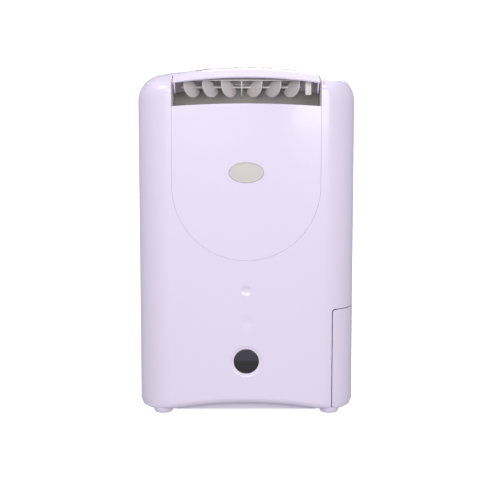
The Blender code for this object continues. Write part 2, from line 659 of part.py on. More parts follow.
join(louvre_motor, block("motor_flange", (102.4 * MM, 104 * MM), (22 * MM, 50 * MM), (431 * MM, 441 * MM), GREY))

# ---- base, feet ---------------------------------------------------------------------------------
base_tray = slab("base_tray", [tray_outline(0)], 15 * MM, (0, 0, 16.5 * MM), GREY, facing="Z")
join(base_tray, block("plinth", (-97.3 * MM, 97.3 * MM), (25.3 * MM, 158 * MM), (4 * MM, 10 * MM), GREY))
for (x, t), label in zip(FEET, ("front_left", "rear_left", "front_right", "rear_right")):
    foot = cone(f"foot_{label}", (11.4 * MM, 13.3 * MM), 8.7 * MM, (x, FRONT + t, 4.35 * MM), SHELL, sides=22)
    dome = foot.modifiers.new("dome", "BEVEL")
    dome.width, dome.segments, dome.limit_method, dome.angle_limit = 2.4 * MM, 2, "ANGLE", math.radians(50)

# ---- water tank ---------------------------------------------------------------------------------
TANK_X, TANK_T, TANK_Z = (-114 * MM, 119 * MM), (17 * MM, 127 * MM), (24.6 * MM, 112 * MM)
tank_cover = casing_skin("tank_cover", WHOLE_DEPTHS, SHELL, front_cap=True)
cover_depth = TANK_REAR - FRONT - 0.8 * MM
common(tank_cover, slab("cover_limit", [tank_outline(0.8 * MM)], cover_depth + 30 * MM,
                        (0, FRONT + cover_depth / 2 - 15 * MM, 0), SHELL))
join(
    tank_cover,
    block("cover_rib_low", (119.4 * MM, 148.6 * MM), (50 * MM, 118 * MM), (44 * MM, 47 * MM), SHELL),
    block("cover_rib_high", (119.4 * MM, 148.6 * MM), (50 * MM, 118 * MM), (96 * MM, 99 * MM), SHELL),
    block("grip_body", (124 * MM, 148.6 * MM), (58 * MM, 118 * MM), (116 * MM, 141 * MM), SHELL),
)
cut(
    tank_cover, TRAY_OPENING, *FOOT_POCKETS,
    block("grip_pocket", (126.5 * MM, 160 * MM), (61 * MM, 115 * MM), (118.5 * MM, 138.5 * MM)),
)
water_tank = block("water_tank", TANK_X, TANK_T, TANK_Z, CLEAR, bevel=6 * MM)
cut(water_tank, block(
    "tank_space", (TANK_X[0] + 2 * MM, TANK_X[1] - 2 * MM), (TANK_T[0] + 2 * MM, TANK_T[1] - 2 * MM),
    (TANK_Z[0] + 2 * MM, TANK_Z[1] + 40 * MM), bevel=4.5 * MM
), block("tank_top", (-130 * MM, 130 * MM), (0, 140 * MM), (TANK_Z[1] - 7 * MM, TANK_Z[1] + 9 * MM)))
RIM = TANK_Z[1] - 7 * MM
tank_lid = block("tank_lid", (TANK_X[0] - 2.4 * MM, TANK_X[1]), (TANK_T[0] - 1.2 * MM, TANK_T[1] + 1.2 * MM),
                 (RIM - 5 * MM, RIM + 3 * MM), GREY, bevel=2 * MM)
cut(
    tank_lid,
    block("lid_space", (TANK_X[0] - 0.3 * MM, TANK_X[1] + 10 * MM), (TANK_T[0] - 0.3 * MM, TANK_T[1] + 0.3 * MM),
          (RIM - 20 * MM, RIM + 0.4 * MM)),
    block("lid_inlet", (-80 * MM, -40 * MM), (60 * MM, 90 * MM), (RIM - 5 * MM, RIM + 10 * MM)),
    block("lid_spout", (92 * MM, 112 * MM), (100 * MM, 122 * MM), (RIM - 5 * MM, RIM + 10 * MM)),
)
tank_float = block("tank_float", (-104 * MM, -74 * MM), (30 * MM, 54 * MM), (28 * MM, 42 * MM), GREY, bevel=2 * MM)

# ---- filter, condenser and drip tray ------------------------------------------------------------
filter_frame = prism("filter_frame", (-105.6 * MM, 186.4 * MM), (105.6 * MM, 427.6 * MM), 3 * MM, 7.6 * MM,
                     173.6 * MM, SHELL)
COLUMNS, ROWS = 5, 8
cell_w, cell_h = 193 * MM / COLUMNS, 223 * MM / ROWS
filter_holes = block("filter_holes", (0, cell_w - 3 * MM), (160 * MM, 190 * MM), (0, cell_h - 3 * MM))
filter_holes.location = (-95 * MM + cell_w / 2, FRONT + 175 * MM, 197 * MM + cell_h / 2)
for count, step in ((COLUMNS, (cell_w, 0, 0)), (ROWS, (0, 0, cell_h))):
    repeat = filter_holes.modifiers.new("repeat", "ARRAY")
    repeat.use_relative_offset, repeat.use_constant_offset = False, True
    repeat.count, repeat.constant_offset_displace = count, step
cut(filter_frame, filter_holes)
filter_mesh = block("filter_mesh", (-103 * MM, 103 * MM), (168.6 * MM, 169.4 * MM), (189 * MM, 425 * MM), GREY)

condenser = block("condenser", (-106 * MM, 106 * MM), (128 * MM, 146 * MM), (176 * MM, 424 * MM), CLEAR)
tubes = block("tube_gaps", (-2.5 * MM, 2.5 * MM), (120 * MM, 155 * MM), (188 * MM, 412 * MM))
tubes.location.x = -98 * MM
repeat = tubes.modifiers.new("repeat", "ARRAY")
repeat.use_relative_offset, repeat.use_constant_offset = False, True
repeat.count, repeat.constant_offset_displace = 15, (14 * MM, 0, 0)
cut(condenser, tubes)

drip_tray = block("drip_tray", (-118 * MM, 118 * MM), (26 * MM, 160 * MM), (152 * MM, 170 * MM), GREY)
spout = cone("drip_spout", (6 * MM, 9 * MM), 26 * MM, (-60 * MM, FRONT + 75 * MM, 141 * MM), GREY, sides=24)
join(drip_tray, spout)
cut(
    drip_tray, block("drip_space", (-116 * MM, 116 * MM), (28 * MM, 158 * MM), (154.4 * MM, 190 * MM)),
    cone("drip_bore", (4 * MM, 7 * MM), 40 * MM, (-60 * MM, FRONT + 75 * MM, 141 * MM), None, sides=24),
)

# ---- desiccant rotor and its drive --------------------------------------------------------------
def gear(teeth, steps=1):
    """Gear outline with straight-flanked teeth, about its own centre."""
    tip, root = MODULE * (teeth / 2 + 0.9), MODULE * (teeth / 2 - 1.15)
    pitch = 2 * math.pi / teeth
    points = []
    for i in range(teeth):
        for share, radius in ((-0.24, root), (-0.11, tip), (0.11, tip), (0.24, root)):
            a = pitch * (i + share)
            points.append((radius * math.cos(a), radius * math.sin(a)))
    return points


rotor_ring = slab("rotor_ring", [gear(ROTOR_TEETH), circle((0, 0), 92 * MM, 40)], 22 * MM,
                  (0, ROTOR_Y, ROTOR_Z), GREY)
hub = slab("rotor_hub", [circle((0, 0), 14 * MM, 32), circle((0, 0), 4.3 * MM, 24)], 22 * MM,
           (0, ROTOR_Y, ROTOR_Z), GREY)
join(rotor_ring, hub)
for number in range(3):
    spoke = box(f"spoke_{number}", (-93 * MM, -1.5 * MM, -3 * MM), (93 * MM, 1.5 * MM, 3 * MM), GREY)
    spoke.location = (0, ROTOR_Y + 9 * MM, ROTOR_Z)
    spoke.rotation_euler = (0, number * math.pi / 3 + 0.2, 0)
    cut(spoke, cylinder(f"spoke_bore_{number}", 9 * MM, 30 * MM, (0, ROTOR_Y, ROTOR_Z), None, "Y", 24))
    join(rotor_ring, spoke)
rotor_media = slab("rotor_media", [circle((0, 0), 91.2 * MM, 40), circle((0, 0), 14.4 * MM, 32)], 17.4 * MM,
                   (0, ROTOR_Y - 1.8 * MM, ROTOR_Z), MEDIA)
rotor_axle = cylinder("rotor_axle", 4 * MM, 34 * MM, (0, ROTOR_Y - 4 * MM, ROTOR_Z), METAL, "Y", 24)

PLATE_T = (92 * MM, 96 * MM)
rotor_plate = prism("rotor_plate", (-118 * MM, 172.4 * MM), (118 * MM, 427 * MM), 6 * MM,
                    PLATE_T[1] - PLATE_T[0], sum(PLATE_T) / 2, GREY)
plate_hole = slab("plate_hole", [circle((0, ROTOR_Z), 89 * MM, 40)], 20 * MM, (0, FRONT + 94 * MM, 0))
cut(rotor_plate, plate_hole)
for number in range(3):
    arm = box(f"plate_arm_{number}", (8 * MM, -1.8 * MM, -5 * MM), (95 * MM, 1.8 * MM, 5 * MM), GREY)
    arm.data.transform(Matrix.Translation((51.5 * MM, 0, 0)))
    arm.location = (0, FRONT + 94 * MM, ROTOR_Z)
    arm.rotation_euler = (0, math.radians(90 + 120 * number), 0)
    join(rotor_plate, arm)
join(rotor_plate, cylinder("plate_hub", 12 * MM, 3.2 * MM, (0, FRONT + 94 * MM, ROTOR_Z), GREY, "Y", 28))
cut(rotor_plate, cylinder("axle_bore", 4.2 * MM, 30 * MM, (0, FRONT + 94 * MM, ROTOR_Z), None, "Y", 24))

PINION_ANGLE = math.radians(-42.75)
reach = MODULE * (ROTOR_TEETH + PINION_TEETH) / 2 + 0.5 * MM
PINION = (reach * math.cos(PINION_ANGLE), ROTOR_Z + reach * math.sin(PINION_ANGLE))
pinion = slab("rotor_pinion", [gear(PINION_TEETH), circle((0, 0), 3.2 * MM, 20)], 10 * MM,
              (PINION[0], ROTOR_Y, PINION[1]), GREY)
rotor_pitch = 2 * math.pi / ROTOR_TEETH
beyond = PINION_ANGLE / rotor_pitch - round(PINION_ANGLE / rotor_pitch)
pinion_turn = (PINION_ANGLE + math.pi) + beyond * rotor_pitch * ROTOR_TEETH / PINION_TEETH
pinion_turn += math.pi / PINION_TEETH
pinion.rotation_euler = (0, -pinion_turn, 0)
rotor_motor = cylinder("rotor_motor", 17 * MM, 14 * MM, (PINION[0], FRONT + 84 * MM, PINION[1]), METAL, "Y", 32)
join(rotor_motor, cylinder("rotor_motor_shaft", 2.9 * MM, 30 * MM, (PINION[0], FRONT + 103 * MM, PINION[1]), METAL,
                           "Y", 20))
cut(rotor_plate, cylinder("motor_shaft_bore", 4 * MM, 30 * MM, (PINION[0], FRONT + 94 * MM, PINION[1]), None, "Y", 20))

# ---- heater and regeneration blower -------------------------------------------------------------
BLOWER = (-86 * MM, 203 * MM)
heater_outer = arc((0, ROTOR_Z), (88 * MM, 88 * MM), 176, 232, 12) + arc(
    (0, ROTOR_Z), (22 * MM, 22 * MM), 232, 176, 5)
heater_inner = arc((0, ROTOR_Z), (86 * MM, 86 * MM), 178, 230, 12) + arc(
    (0, ROTOR_Z), (25 * MM, 25 * MM), 228, 180, 5)
heater_box = slab("heater_box", [heater_outer], 12 * MM, (0, FRONT + 85.6 * MM, 0), METAL)
cut(heater_box, slab("heater_space", [heater_inner], 12 * MM, (0, FRONT + 87.8 * MM, 0)))
regen_housing = cylinder("regen_housing", 27 * MM, 14 * MM, (BLOWER[0], FRONT + 84.6 * MM, BLOWER[1]), METAL, "Y", 28)
cut(
    regen_housing, cylinder("regen_space", 25 * MM, 14 * MM, (BLOWER[0], FRONT + 86.8 * MM, BLOWER[1]), None, "Y", 28),
    cylinder("regen_inlet", 6 * MM, 40 * MM, (BLOWER[0], FRONT + 84 * MM, BLOWER[1]), None, "Y", 20),
    slab("heater_keepout", [arc((0, ROTOR_Z), (88.5 * MM, 88.5 * MM), 170, 240, 14) + [(0, ROTOR_Z)]], 40 * MM,
         (0, FRONT + 85 * MM, 0)),
)


def wheel(name, radius, depth, blades, y, centre, bore, mat):
    """A squirrel-cage wheel: a disc with a hub at the front, blades, and a ring at the rear."""
    disc = slab(name, [circle((0, 0), radius, 30), circle((0, 0), bore, 16)], 2 * MM, (centre[0], y, centre[1]), mat)
    hub = slab(name + "_hub", [circle((0, 0), bore + 4 * MM, 20), circle((0, 0), bore, 16)], depth * 0.6,
               (centre[0], y + depth * 0.3 - 1 * MM, centre[1]), mat)
    ring = slab(name + "_ring", [circle((0, 0), radius, 30), circle((0, 0), radius * 0.86, 30)], 2 * MM,
                (centre[0], y + depth - 2 * MM, centre[1]), mat)
    outlines = []
    for i in range(blades):
        points = []
        for share, lean in ((0.88, -0.01), (0.985, 0.05), (0.985, 0.05 + 1.6 * MM / radius), (0.88, 0.01)):
            a = 2 * math.pi * i / blades + lean
            points.append((radius * share * math.cos(a), radius * share * math.sin(a)))
        outlines.append(points)
    vanes = slab(name + "_blades", outlines, depth - 1 * MM, (centre[0], y + (depth - 2 * MM) / 2, centre[1]), mat)
    return join(disc, hub, vanes, ring)


regen_wheel = wheel("regen_wheel", 22 * MM, 9 * MM, 9, FRONT + 82.5 * MM, BLOWER, 1.8 * MM, METAL)
regen_motor = cylinder("regen_motor", 13 * MM, 16 * MM, (BLOWER[0], FRONT + 69 * MM, BLOWER[1]), METAL, "Y", 28)
join(regen_motor, cylinder("regen_shaft", 1.5 * MM, 14 * MM, (BLOWER[0], FRONT + 82 * MM, BLOWER[1]), METAL, "Y", 12))

# ---- main fan -----------------------------------------------------------------------------------
def scroll_outline(inset):
    turns = [50 + 310 * i / 28 for i in range(29)]
    points = []
    for turn in turns:
        radius = (74 + 21 * (turn - 50) / 310) * MM - inset
        a = math.radians(turn)
        points.append((radius * math.cos(a), FAN_Z + radius * math.sin(a)))
    top = 391 * MM + inset * 4
    throat = [(95 * MM - inset, top), (-60 * MM + inset, top), (-60 * MM + inset, 380 * MM + 1.2 * inset)]
    return points + throat + [(30 * MM + inset, 360 * MM + 1.2 * inset)] + (
        [(50.5 * MM, 329.5 * MM)] if inset else [])


SCROLL_T = (24 * MM, 72 * MM)
scroll_mid = sum(SCROLL_T) / 2
fan_scroll = slab("fan_scroll", [scroll_outline(0)], SCROLL_T[1] - SCROLL_T[0], (0, FRONT + scroll_mid, 0), GREY)
cut(
    fan_scroll, slab("scroll_space", [scroll_outline(2 * MM)], 44 * MM, (0, FRONT + scroll_mid, 0)),
    cylinder("scroll_inlet", 56 * MM, 30 * MM, (0, FRONT + 80 * MM, FAN_Z), None, "Y", 36),
    cylinder("motor_opening", 25 * MM, 20 * MM, (0, FRONT + 24 * MM, FAN_Z), None, "Y", 28),
)
fan_wheel = wheel("fan_wheel", 66 * MM, 34 * MM, 20, FRONT + 32 * MM, (0, FAN_Z), 3.4 * MM, GREY)
fan_motor = cylinder("fan_motor", 24.4 * MM, 18 * MM, (0, FRONT + 18.5 * MM, FAN_Z), METAL, "Y", 28)
join(fan_motor, cylinder("fan_shaft", 3 * MM, 30 * MM, (0, FRONT + 38 * MM, FAN_Z), METAL, "Y", 20))

# ---- electrics ----------------------------------------------------------------------------------
power_board = block("power_board", (-136 * MM, -134.4 * MM), (62 * MM, 122 * MM), (190 * MM, 330 * MM), BOARD)
board_cover = block("board_cover", (-133.6 * MM, -121 * MM), (60 * MM, 124 * MM), (188 * MM, 332 * MM), GREY)
cut(board_cover, block("board_space", (-150 * MM, -123 * MM), (62 * MM, 122 * MM), (190 * MM, 330 * MM)))
humidity_sensor = block("humidity_sensor", (-136 * MM, -124 * MM), (136 * MM, 150 * MM), (350 * MM, 376 * MM),
                        GREY, bevel=1 * MM)
cable_gland = cylinder("cable_gland", 8 * MM, 14 * MM, (GLAND[0], REAR - 5 * MM, GLAND[1]), RUBBER, "Y", 28)
join(cable_gland, cylinder("gland_flange", 11 * MM, 1.6 * MM, (GLAND[0], REAR + 1.2 * MM, GLAND[1]), RUBBER, "Y", 28))
cut(cable_gland, cylinder("gland_bore", 3.6 * MM, 60 * MM, (GLAND[0], REAR, GLAND[1]), None, "Y", 20))

for piece in (front_casing, front_fascia, tank_cover):
    weld = piece.modifiers.new("weld", "WELD")
    weld.merge_threshold = 0.00002
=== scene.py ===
import json
import math

import bmesh
import bpy
from mathutils import Matrix, Vector

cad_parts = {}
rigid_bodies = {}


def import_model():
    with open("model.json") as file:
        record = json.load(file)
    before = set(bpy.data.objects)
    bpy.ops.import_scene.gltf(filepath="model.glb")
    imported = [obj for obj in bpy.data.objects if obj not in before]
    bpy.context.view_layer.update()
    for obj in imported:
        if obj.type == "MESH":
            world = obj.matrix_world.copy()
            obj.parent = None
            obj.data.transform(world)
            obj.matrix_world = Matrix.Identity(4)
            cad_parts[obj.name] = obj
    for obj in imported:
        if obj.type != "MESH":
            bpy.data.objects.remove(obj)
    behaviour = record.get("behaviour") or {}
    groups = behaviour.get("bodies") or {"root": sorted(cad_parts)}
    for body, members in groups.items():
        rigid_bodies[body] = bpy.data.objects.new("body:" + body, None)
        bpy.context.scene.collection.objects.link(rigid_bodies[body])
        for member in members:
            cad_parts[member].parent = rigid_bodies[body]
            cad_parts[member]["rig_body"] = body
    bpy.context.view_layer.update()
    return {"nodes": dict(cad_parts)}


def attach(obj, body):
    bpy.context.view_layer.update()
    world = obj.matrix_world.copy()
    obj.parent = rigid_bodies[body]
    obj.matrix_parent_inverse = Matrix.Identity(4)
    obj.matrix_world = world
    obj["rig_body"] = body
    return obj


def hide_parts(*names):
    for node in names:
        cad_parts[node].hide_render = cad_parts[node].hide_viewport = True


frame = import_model()
NODES = frame["nodes"]

# ---- the casing's form, as the CAD has it -------------------------------------------------------
MM = 0.001
WIDTH, DEPTH, HEIGHT = 300 * MM, 178 * MM, 479 * MM
LIP_REACH, REAR_REACH = 8.789 * MM, 2 * MM
FRONT = -(DEPTH + LIP_REACH + REAR_REACH) / 2 + LIP_REACH
REAR = FRONT + DEPTH
WALL = 2.5 * MM
SEAM = 42 * MM
CROWN_RADIUS, BOW_RADIUS, TOP_CORNER = 709 * MM, 750 * MM, 35 * MM
SIDE_ROLL, TOP_ROLL, BOTTOM_ROLL = (65 * MM, 45 * MM), (85 * MM, 24.5 * MM), (12 * MM, 10 * MM)
REAR_SIDE_ROLL, REAR_TOP_ROLL = (30 * MM, 26 * MM), (50 * MM, 22 * MM)
SKIRT, ARCH_RISE, ARCH_HALF = 6 * MM, 10.3 * MM, 102 * MM
BOTTOM_CORNER = (9 * MM, 6 * MM)
FASCIA_HALF, FASCIA_ARC_Z, FASCIA_TOP_Z, FASCIA_DROP = 101.4 * MM, 318.5 * MM, 430.7 * MM, 3.8 * MM
AXIS = Vector((0, FRONT + 22.5 * MM, 457 * MM))
LOUVRE_OPEN, LOUVRE_HALF, LOUVRE_REAR = math.radians(64), FASCIA_HALF - 3.2 * MM, 20.8 * MM
VANE_R, VANE_TURN = 18.8 * MM, math.radians(38)
VANE_CENTRE, VANE_FIRST, VANE_PITCH = -6.2 * MM, 15.9 * MM, 25.3 * MM
WINDOW_Z, BADGE_Z = 76.8 * MM, 337.6 * MM
DIMPLES = ((175.7 * MM, 7.4 * MM, 1.5 * MM), (132.7 * MM, 9.8 * MM, 0.55 * MM))
TANK_SEAM_X, TANK_TOP, TANK_REAR = 118.3 * MM, 148 * MM, REAR - 34 * MM
FEET = [(x * MM, t * MM) for x in (-116, 116) for t in (27.2, 147)]
PANEL_HALF, PANEL_T = 70 * MM, (56 * MM, 100 * MM)
ARM, GRIP_T = (80 * MM, 92 * MM), (132 * MM, 146 * MM)
PIVOT_T, PIVOT_Z = 66 * MM, 468.4 * MM
SCREWS = [(side * 96 * MM, z * MM) for side in (-1, 1) for z in (170, 441)]
GLAND = (-96 * MM, 62 * MM)
BUTTON_X, BUTTON_T, BUTTON_R, LENS_T = [(-52 + 20 * i) * MM for i in range(5)], 84 * MM, 6.5 * MM, 65 * MM


# ---- mesh helpers -------------------------------------------------------------------------------
STUDIO = bpy.data.collections.new("dehumidifier_looks")
bpy.context.scene.collection.children.link(STUDIO)


def add(name, mesh):
    obj = bpy.data.objects.new(name, mesh)
    STUDIO.objects.link(obj)
    return obj


def mesh_from(bm, name):
    mesh = bpy.data.meshes.new(name)
    bmesh.ops.recalc_face_normals(bm, faces=bm.faces)
    bm.to_mesh(mesh)
    bm.free()
    return mesh


def apply_all(obj):
    """Turns the modifiers into mesh."""
    bpy.context.view_layer.update()
    graph = bpy.context.evaluated_depsgraph_get()
    mesh = bpy.data.meshes.new_from_object(obj.evaluated_get(graph))
    obj.modifiers.clear()
    obj.data = mesh
    return obj


def boolean(obj, others, operation):
    """Applies the operation with each of the others and removes them."""
    for other in others:
        modifier = obj.modifiers.new("b", "BOOLEAN")
        modifier.operation, modifier.object, modifier.solver = operation, other, "EXACT"
    apply_all(obj)
    for other in others:
        bpy.data.objects.remove(other)
    return obj


def cut(obj, *others):
    return boolean(obj, others, "DIFFERENCE")


def join(obj, *others):
    return boolean(obj, others, "UNION")


def common(obj, other):
    return boolean(obj, [other], "INTERSECT")


def copy_of(obj, name):
    return add(name, obj.data.copy())


def block(name, x, t, z, bevel=0.0):
    low, high = Vector((x[0], FRONT + t[0], z[0])), Vector((x[1], FRONT + t[1], z[1]))
    bm = bmesh.new()
    place = Matrix.Translation((low + high) / 2) @ Matrix.Diagonal((*(high - low), 1))
    bmesh.ops.create_cube(bm, size=1, matrix=place)
    if bevel:
        bmesh.ops.bevel(bm, geom=bm.edges, offset=bevel, segments=3, profile=0.5, affect="EDGES")
    return add(name, mesh_from(bm, name))


def lathe(name, profile, centre, along="Z", steps=96):
    """Turns (radius, height) points about an axis; the ends lie on the axis or the profile closes on itself."""
    turn = {
        "Z": Matrix.Identity(4),
        "Y": Matrix.Rotation(-math.pi / 2, 4, "X"),
        "X": Matrix.Rotation(math.pi / 2, 4, "Y"),
    }
    bm = bmesh.new()
    rings = []
    for radius, height in profile:
        if radius < 1e-7:
            rings.append([bm.verts.new((0, 0, height))])
            continue
        rings.append([
            bm.verts.new((radius * math.cos(2 * math.pi * i / steps), radius * math.sin(2 * math.pi * i / steps), height))
            for i in range(steps)
        ])
    closed = len(rings[0]) > 1 and len(rings[-1]) > 1
    pairs = list(zip(rings, rings[1:])) + ([(rings[-1], rings[0])] if closed else [])
    for a, b in pairs:
        for i in range(steps):
            j = (i + 1) % steps
            corners = [a[i % len(a)], a[j % len(a)], b[j % len(b)], b[i % len(b)]]
            bm.faces.new(list(dict.fromkeys(corners)))
    bm.transform(Matrix.Translation(centre) @ turn[along])
    return add(name, mesh_from(bm, name))


def disc_profile(radius, low, high, edge=0.0, steps=4):
    """Profile of a disc with rounded rims."""
    if not edge:
        return [(0, low), (radius, low), (radius, high), (0, high)]
    points = [(0, low)]
    points += [(radius - edge + edge * math.sin(a), low + edge - edge * math.cos(a))
               for a in (math.pi / 2 * i / steps for i in range(steps + 1))]
    points += [(radius - edge + edge * math.cos(a), high - edge + edge * math.sin(a))
               for a in (math.pi / 2 * i / steps for i in range(steps + 1))]
    return points + [(0, high)]


def slab(name, outlines, thickness, centre, facing="Y"):
    curve = bpy.data.curves.new(name, "CURVE")
    curve.dimensions, curve.fill_mode, curve.extrude = "2D", "BOTH", thickness / 2
    for points in outlines:
        spline = curve.splines.new("POLY")
        spline.points.add(len(points) - 1)
        spline.use_cyclic_u = True
        for point, (a, b) in zip(spline.points, points):
            point.co = (a, b, 0, 1)
    guide = bpy.data.objects.new(name + "_outline", curve)
    bpy.context.scene.collection.objects.link(guide)
    graph = bpy.context.evaluated_depsgraph_get()
    mesh = bpy.data.meshes.new_from_object(guide.evaluated_get(graph))
    bpy.data.objects.remove(guide)
    turn = {
        "Y": Matrix(((1, 0, 0), (0, 0, -1), (0, 1, 0))),
        "X": Matrix(((0, 0, 1), (1, 0, 0), (0, 1, 0))),
        "Z": Matrix.Identity(3),
    }[facing]
    bm = bmesh.new()
    bm.from_mesh(mesh)
    bmesh.ops.remove_doubles(bm, verts=bm.verts, dist=1e-6)
    bmesh.ops.dissolve_limit(bm, angle_limit=0.001, verts=bm.verts, edges=bm.edges)
    bm.transform(Matrix.Translation(centre) @ turn.to_4x4())
    return add(name, mesh_from(bm, name))


def arc(centre, radii, start, end, steps):
    angles = [math.radians(start + (end - start) * i / steps) for i in range(steps + 1)]
    return [(centre[0] + radii[0] * math.cos(a), centre[1] + radii[1] * math.sin(a)) for a in angles]


def quarter_inset(t, depth, inset):
    left = max(0.0, 1 - t / depth)
    return inset * (1 - math.sqrt(1 - left * left))


def side_inset(t):
    return quarter_inset(t, *SIDE_ROLL) + quarter_inset(DEPTH - t, *REAR_SIDE_ROLL)


def top_inset(t):
    return quarter_inset(t, *TOP_ROLL) + quarter_inset(DEPTH - t, *REAR_TOP_ROLL)


def bottom_inset(t):
    return quarter_inset(t, *BOTTOM_ROLL) + quarter_inset(DEPTH - t, *BOTTOM_ROLL)


def skirt_z(x):
    rise = ARCH_RISE * (1 - (x / ARCH_HALF) ** 2)
    return SKIRT + (rise + math.sqrt(rise * rise + (1.5 * MM) ** 2)) / 2


def bowed(x, t):
    return FRONT + t + x * x / (2 * BOW_RADIUS) * max(0.0, 1 - t / SEAM)


def crown_z(x, t):
    return HEIGHT - top_inset(t) - x * x / (2 * CROWN_RADIUS)


TURN, WALLS, CROWN, SOLE, HEEL = 14, 40, 26, 30, 12


def section(t):
    """Runs of (x, z) at depth t: left and right upwards, bottom and top to the right."""
    side, half = side_inset(t), WIDTH / 2 - side_inset(t)
    crown, corner, tilt = HEIGHT - top_inset(t), TOP_CORNER - 0.7 * side_inset(t), 0.0
    for _ in range(6):
        join_x = half - corner + corner * math.sin(tilt)
        tilt = math.atan(join_x / CROWN_RADIUS)
    corner_x, corner_z = half - corner, crown - join_x**2 / (2 * CROWN_RADIUS) - corner * math.cos(tilt)
    foot_x = half - max(BOTTOM_CORNER[0] - 0.6 * side, 6 * MM)
    lift = bottom_inset(t)
    foot_z = skirt_z(foot_x) + BOTTOM_CORNER[1] + lift
    turns = [tilt + (math.pi / 2 - tilt) * i / TURN for i in range(TURN + 1)]
    shoulder = [(corner_x + corner * math.sin(a), corner_z + corner * math.cos(a)) for a in turns]
    heel = arc((foot_x, foot_z), (half - foot_x, BOTTOM_CORNER[1]), -90, 0, HEEL)
    wall = [(half, foot_z + (corner_z - foot_z) * i / WALLS) for i in range(1, WALLS)]
    split, turned = HEEL // 2, TURN // 2
    right = heel[split:] + wall + shoulder[:turned - 1:-1]
    crown_right = [
        (join_x * i / CROWN, crown - (join_x * i / CROWN) ** 2 / (2 * CROWN_RADIUS)) for i in range(CROWN)
    ]
    half_top = crown_right + shoulder[:turned + 1]
    sole_right = [(foot_x * i / SOLE, skirt_z(foot_x * i / SOLE) + lift) for i in range(SOLE)]
    sole_right += heel[:split + 1]

    def mirrored(points):
        return [(-x, z) for x, z in reversed(points)]

    left = [(-x, z) for x, z in right]
    return left, right, mirrored(sole_right[1:]) + sole_right, mirrored(half_top[1:]) + half_top


def resampled(points, count):
    """Evenly spaced points along a run, so that both ends of a cap have as many."""
    lengths = [0.0]
    for a, b in zip(points, points[1:]):
        lengths.append(lengths[-1] + math.dist(a, b))
    out, k = [], 0
    for i in range(count + 1):
        want = lengths[-1] * i / count
        while k < len(points) - 2 and lengths[k + 1] < want:
            k += 1
        f = (want - lengths[k]) / (lengths[k + 1] - lengths[k] or 1)
        out.append(tuple(points[k][c] + (points[k + 1][c] - points[k][c]) * f for c in range(2)))
    return out


ACROSS, UP = 72, 64


def skin(name, depths, front_cap=False, rear_cap=False, wall=WALL):
    """The outer form between the given depths, thickened inwards."""
    bm = bmesh.new()
    rings, runs = [], []
    for t in depths:
        left, right, bottom, top = section(t)
        left, right = resampled(left, UP), resampled(right, UP)
        bottom, top = resampled(bottom, ACROSS), resampled(top, ACROSS)
        runs.append((left, right, bottom, top))
        loop = left + top[1:] + right[-2::-1] + bottom[-2:0:-1]
        rings.append([bm.verts.new((x, bowed(x, t), z)) for x, z in loop])
    count = len(rings[0])
    for near, far in zip(rings, rings[1:]):
        for i in range(count):
            j = (i + 1) % count
            bm.faces.new((near[i], near[j], far[j], far[i]))
    if front_cap:
        fill_cap(bm, depths[0], rings[0], runs[0])
    if rear_cap:
        fill_cap(bm, depths[-1], rings[-1], runs[-1])
    obj = add(name, mesh_from(bm, name))
    solid = obj.modifiers.new("wall", "SOLIDIFY")
    solid.thickness, solid.offset, solid.use_even_offset = wall, -1, False
    return apply_all(obj)


def fill_cap(bm, t, ring, runs):
    left, right, bottom, top = runs
    grid = {}
    for i in range(UP + 1):
        grid[i, 0], grid[i, ACROSS] = ring[i], ring[2 * UP + ACROSS - i]
    for j in range(ACROSS + 1):
        grid[UP, j], grid[0, j] = ring[UP + j], ring[-j] if j else ring[0]
    for i in range(1, UP):
        for j in range(1, ACROSS):
            v, u = i / UP, j / ACROSS
            x, z = (
                (1 - u) * left[i][k] + u * right[i][k] + (1 - v) * bottom[j][k] + v * top[j][k]
                - (1 - u) * (1 - v) * left[0][k] - u * (1 - v) * right[0][k]
                - (1 - u) * v * left[-1][k] - u * v * right[-1][k]
                for k in range(2)
            )
            grid[i, j] = bm.verts.new((x, bowed(x, t), z))
    for i in range(UP):
        for j in range(ACROSS):
            bm.faces.new((grid[i, j], grid[i, j + 1], grid[i + 1, j + 1], grid[i + 1, j]))


def roll_depths(depth, last, steps):
    end = math.acos(max(-1.0, 1 - last / depth))
    return [depth * (1 - math.cos(end * i / steps)) for i in range(steps + 1)]


FRONT_DEPTHS = roll_depths(SIDE_ROLL[0], SEAM, 26)
MID_DEPTHS = [SEAM + (DEPTH - REAR_TOP_ROLL[0] - SEAM) * i / 14 for i in range(1, 15)]
REAR_DEPTHS = MID_DEPTHS + [
    DEPTH - d for d in roll_depths(REAR_TOP_ROLL[0], REAR_TOP_ROLL[0] - 2 * MM, 22)[::-1]
]
WHOLE_DEPTHS = FRONT_DEPTHS + REAR_DEPTHS


def sheet(name, x_half, first, last, inner, outer, columns=60, rows=40):
    """A solid that follows the crown between two depths."""
    bm = bmesh.new()
    grid = []
    for i in range(rows + 1):
        t = first + (last - first) * i / rows
        xs = [x_half * (2 * j / columns - 1) for j in range(columns + 1)]
        grid.append([bm.verts.new((x, FRONT + t, crown_z(x, t))) for x in xs])
    for near, far in zip(grid, grid[1:]):
        for j in range(columns):
            bm.faces.new((near[j], near[j + 1], far[j + 1], far[j]))
    mesh = mesh_from(bm, name)
    if mesh.polygons[0].normal.z < 0:
        mesh.flip_normals()
    obj = add(name, mesh)
    solid = obj.modifiers.new("thickness", "SOLIDIFY")
    solid.thickness, solid.offset = inner + outer, (outer - inner) / (inner + outer)
    return apply_all(obj)


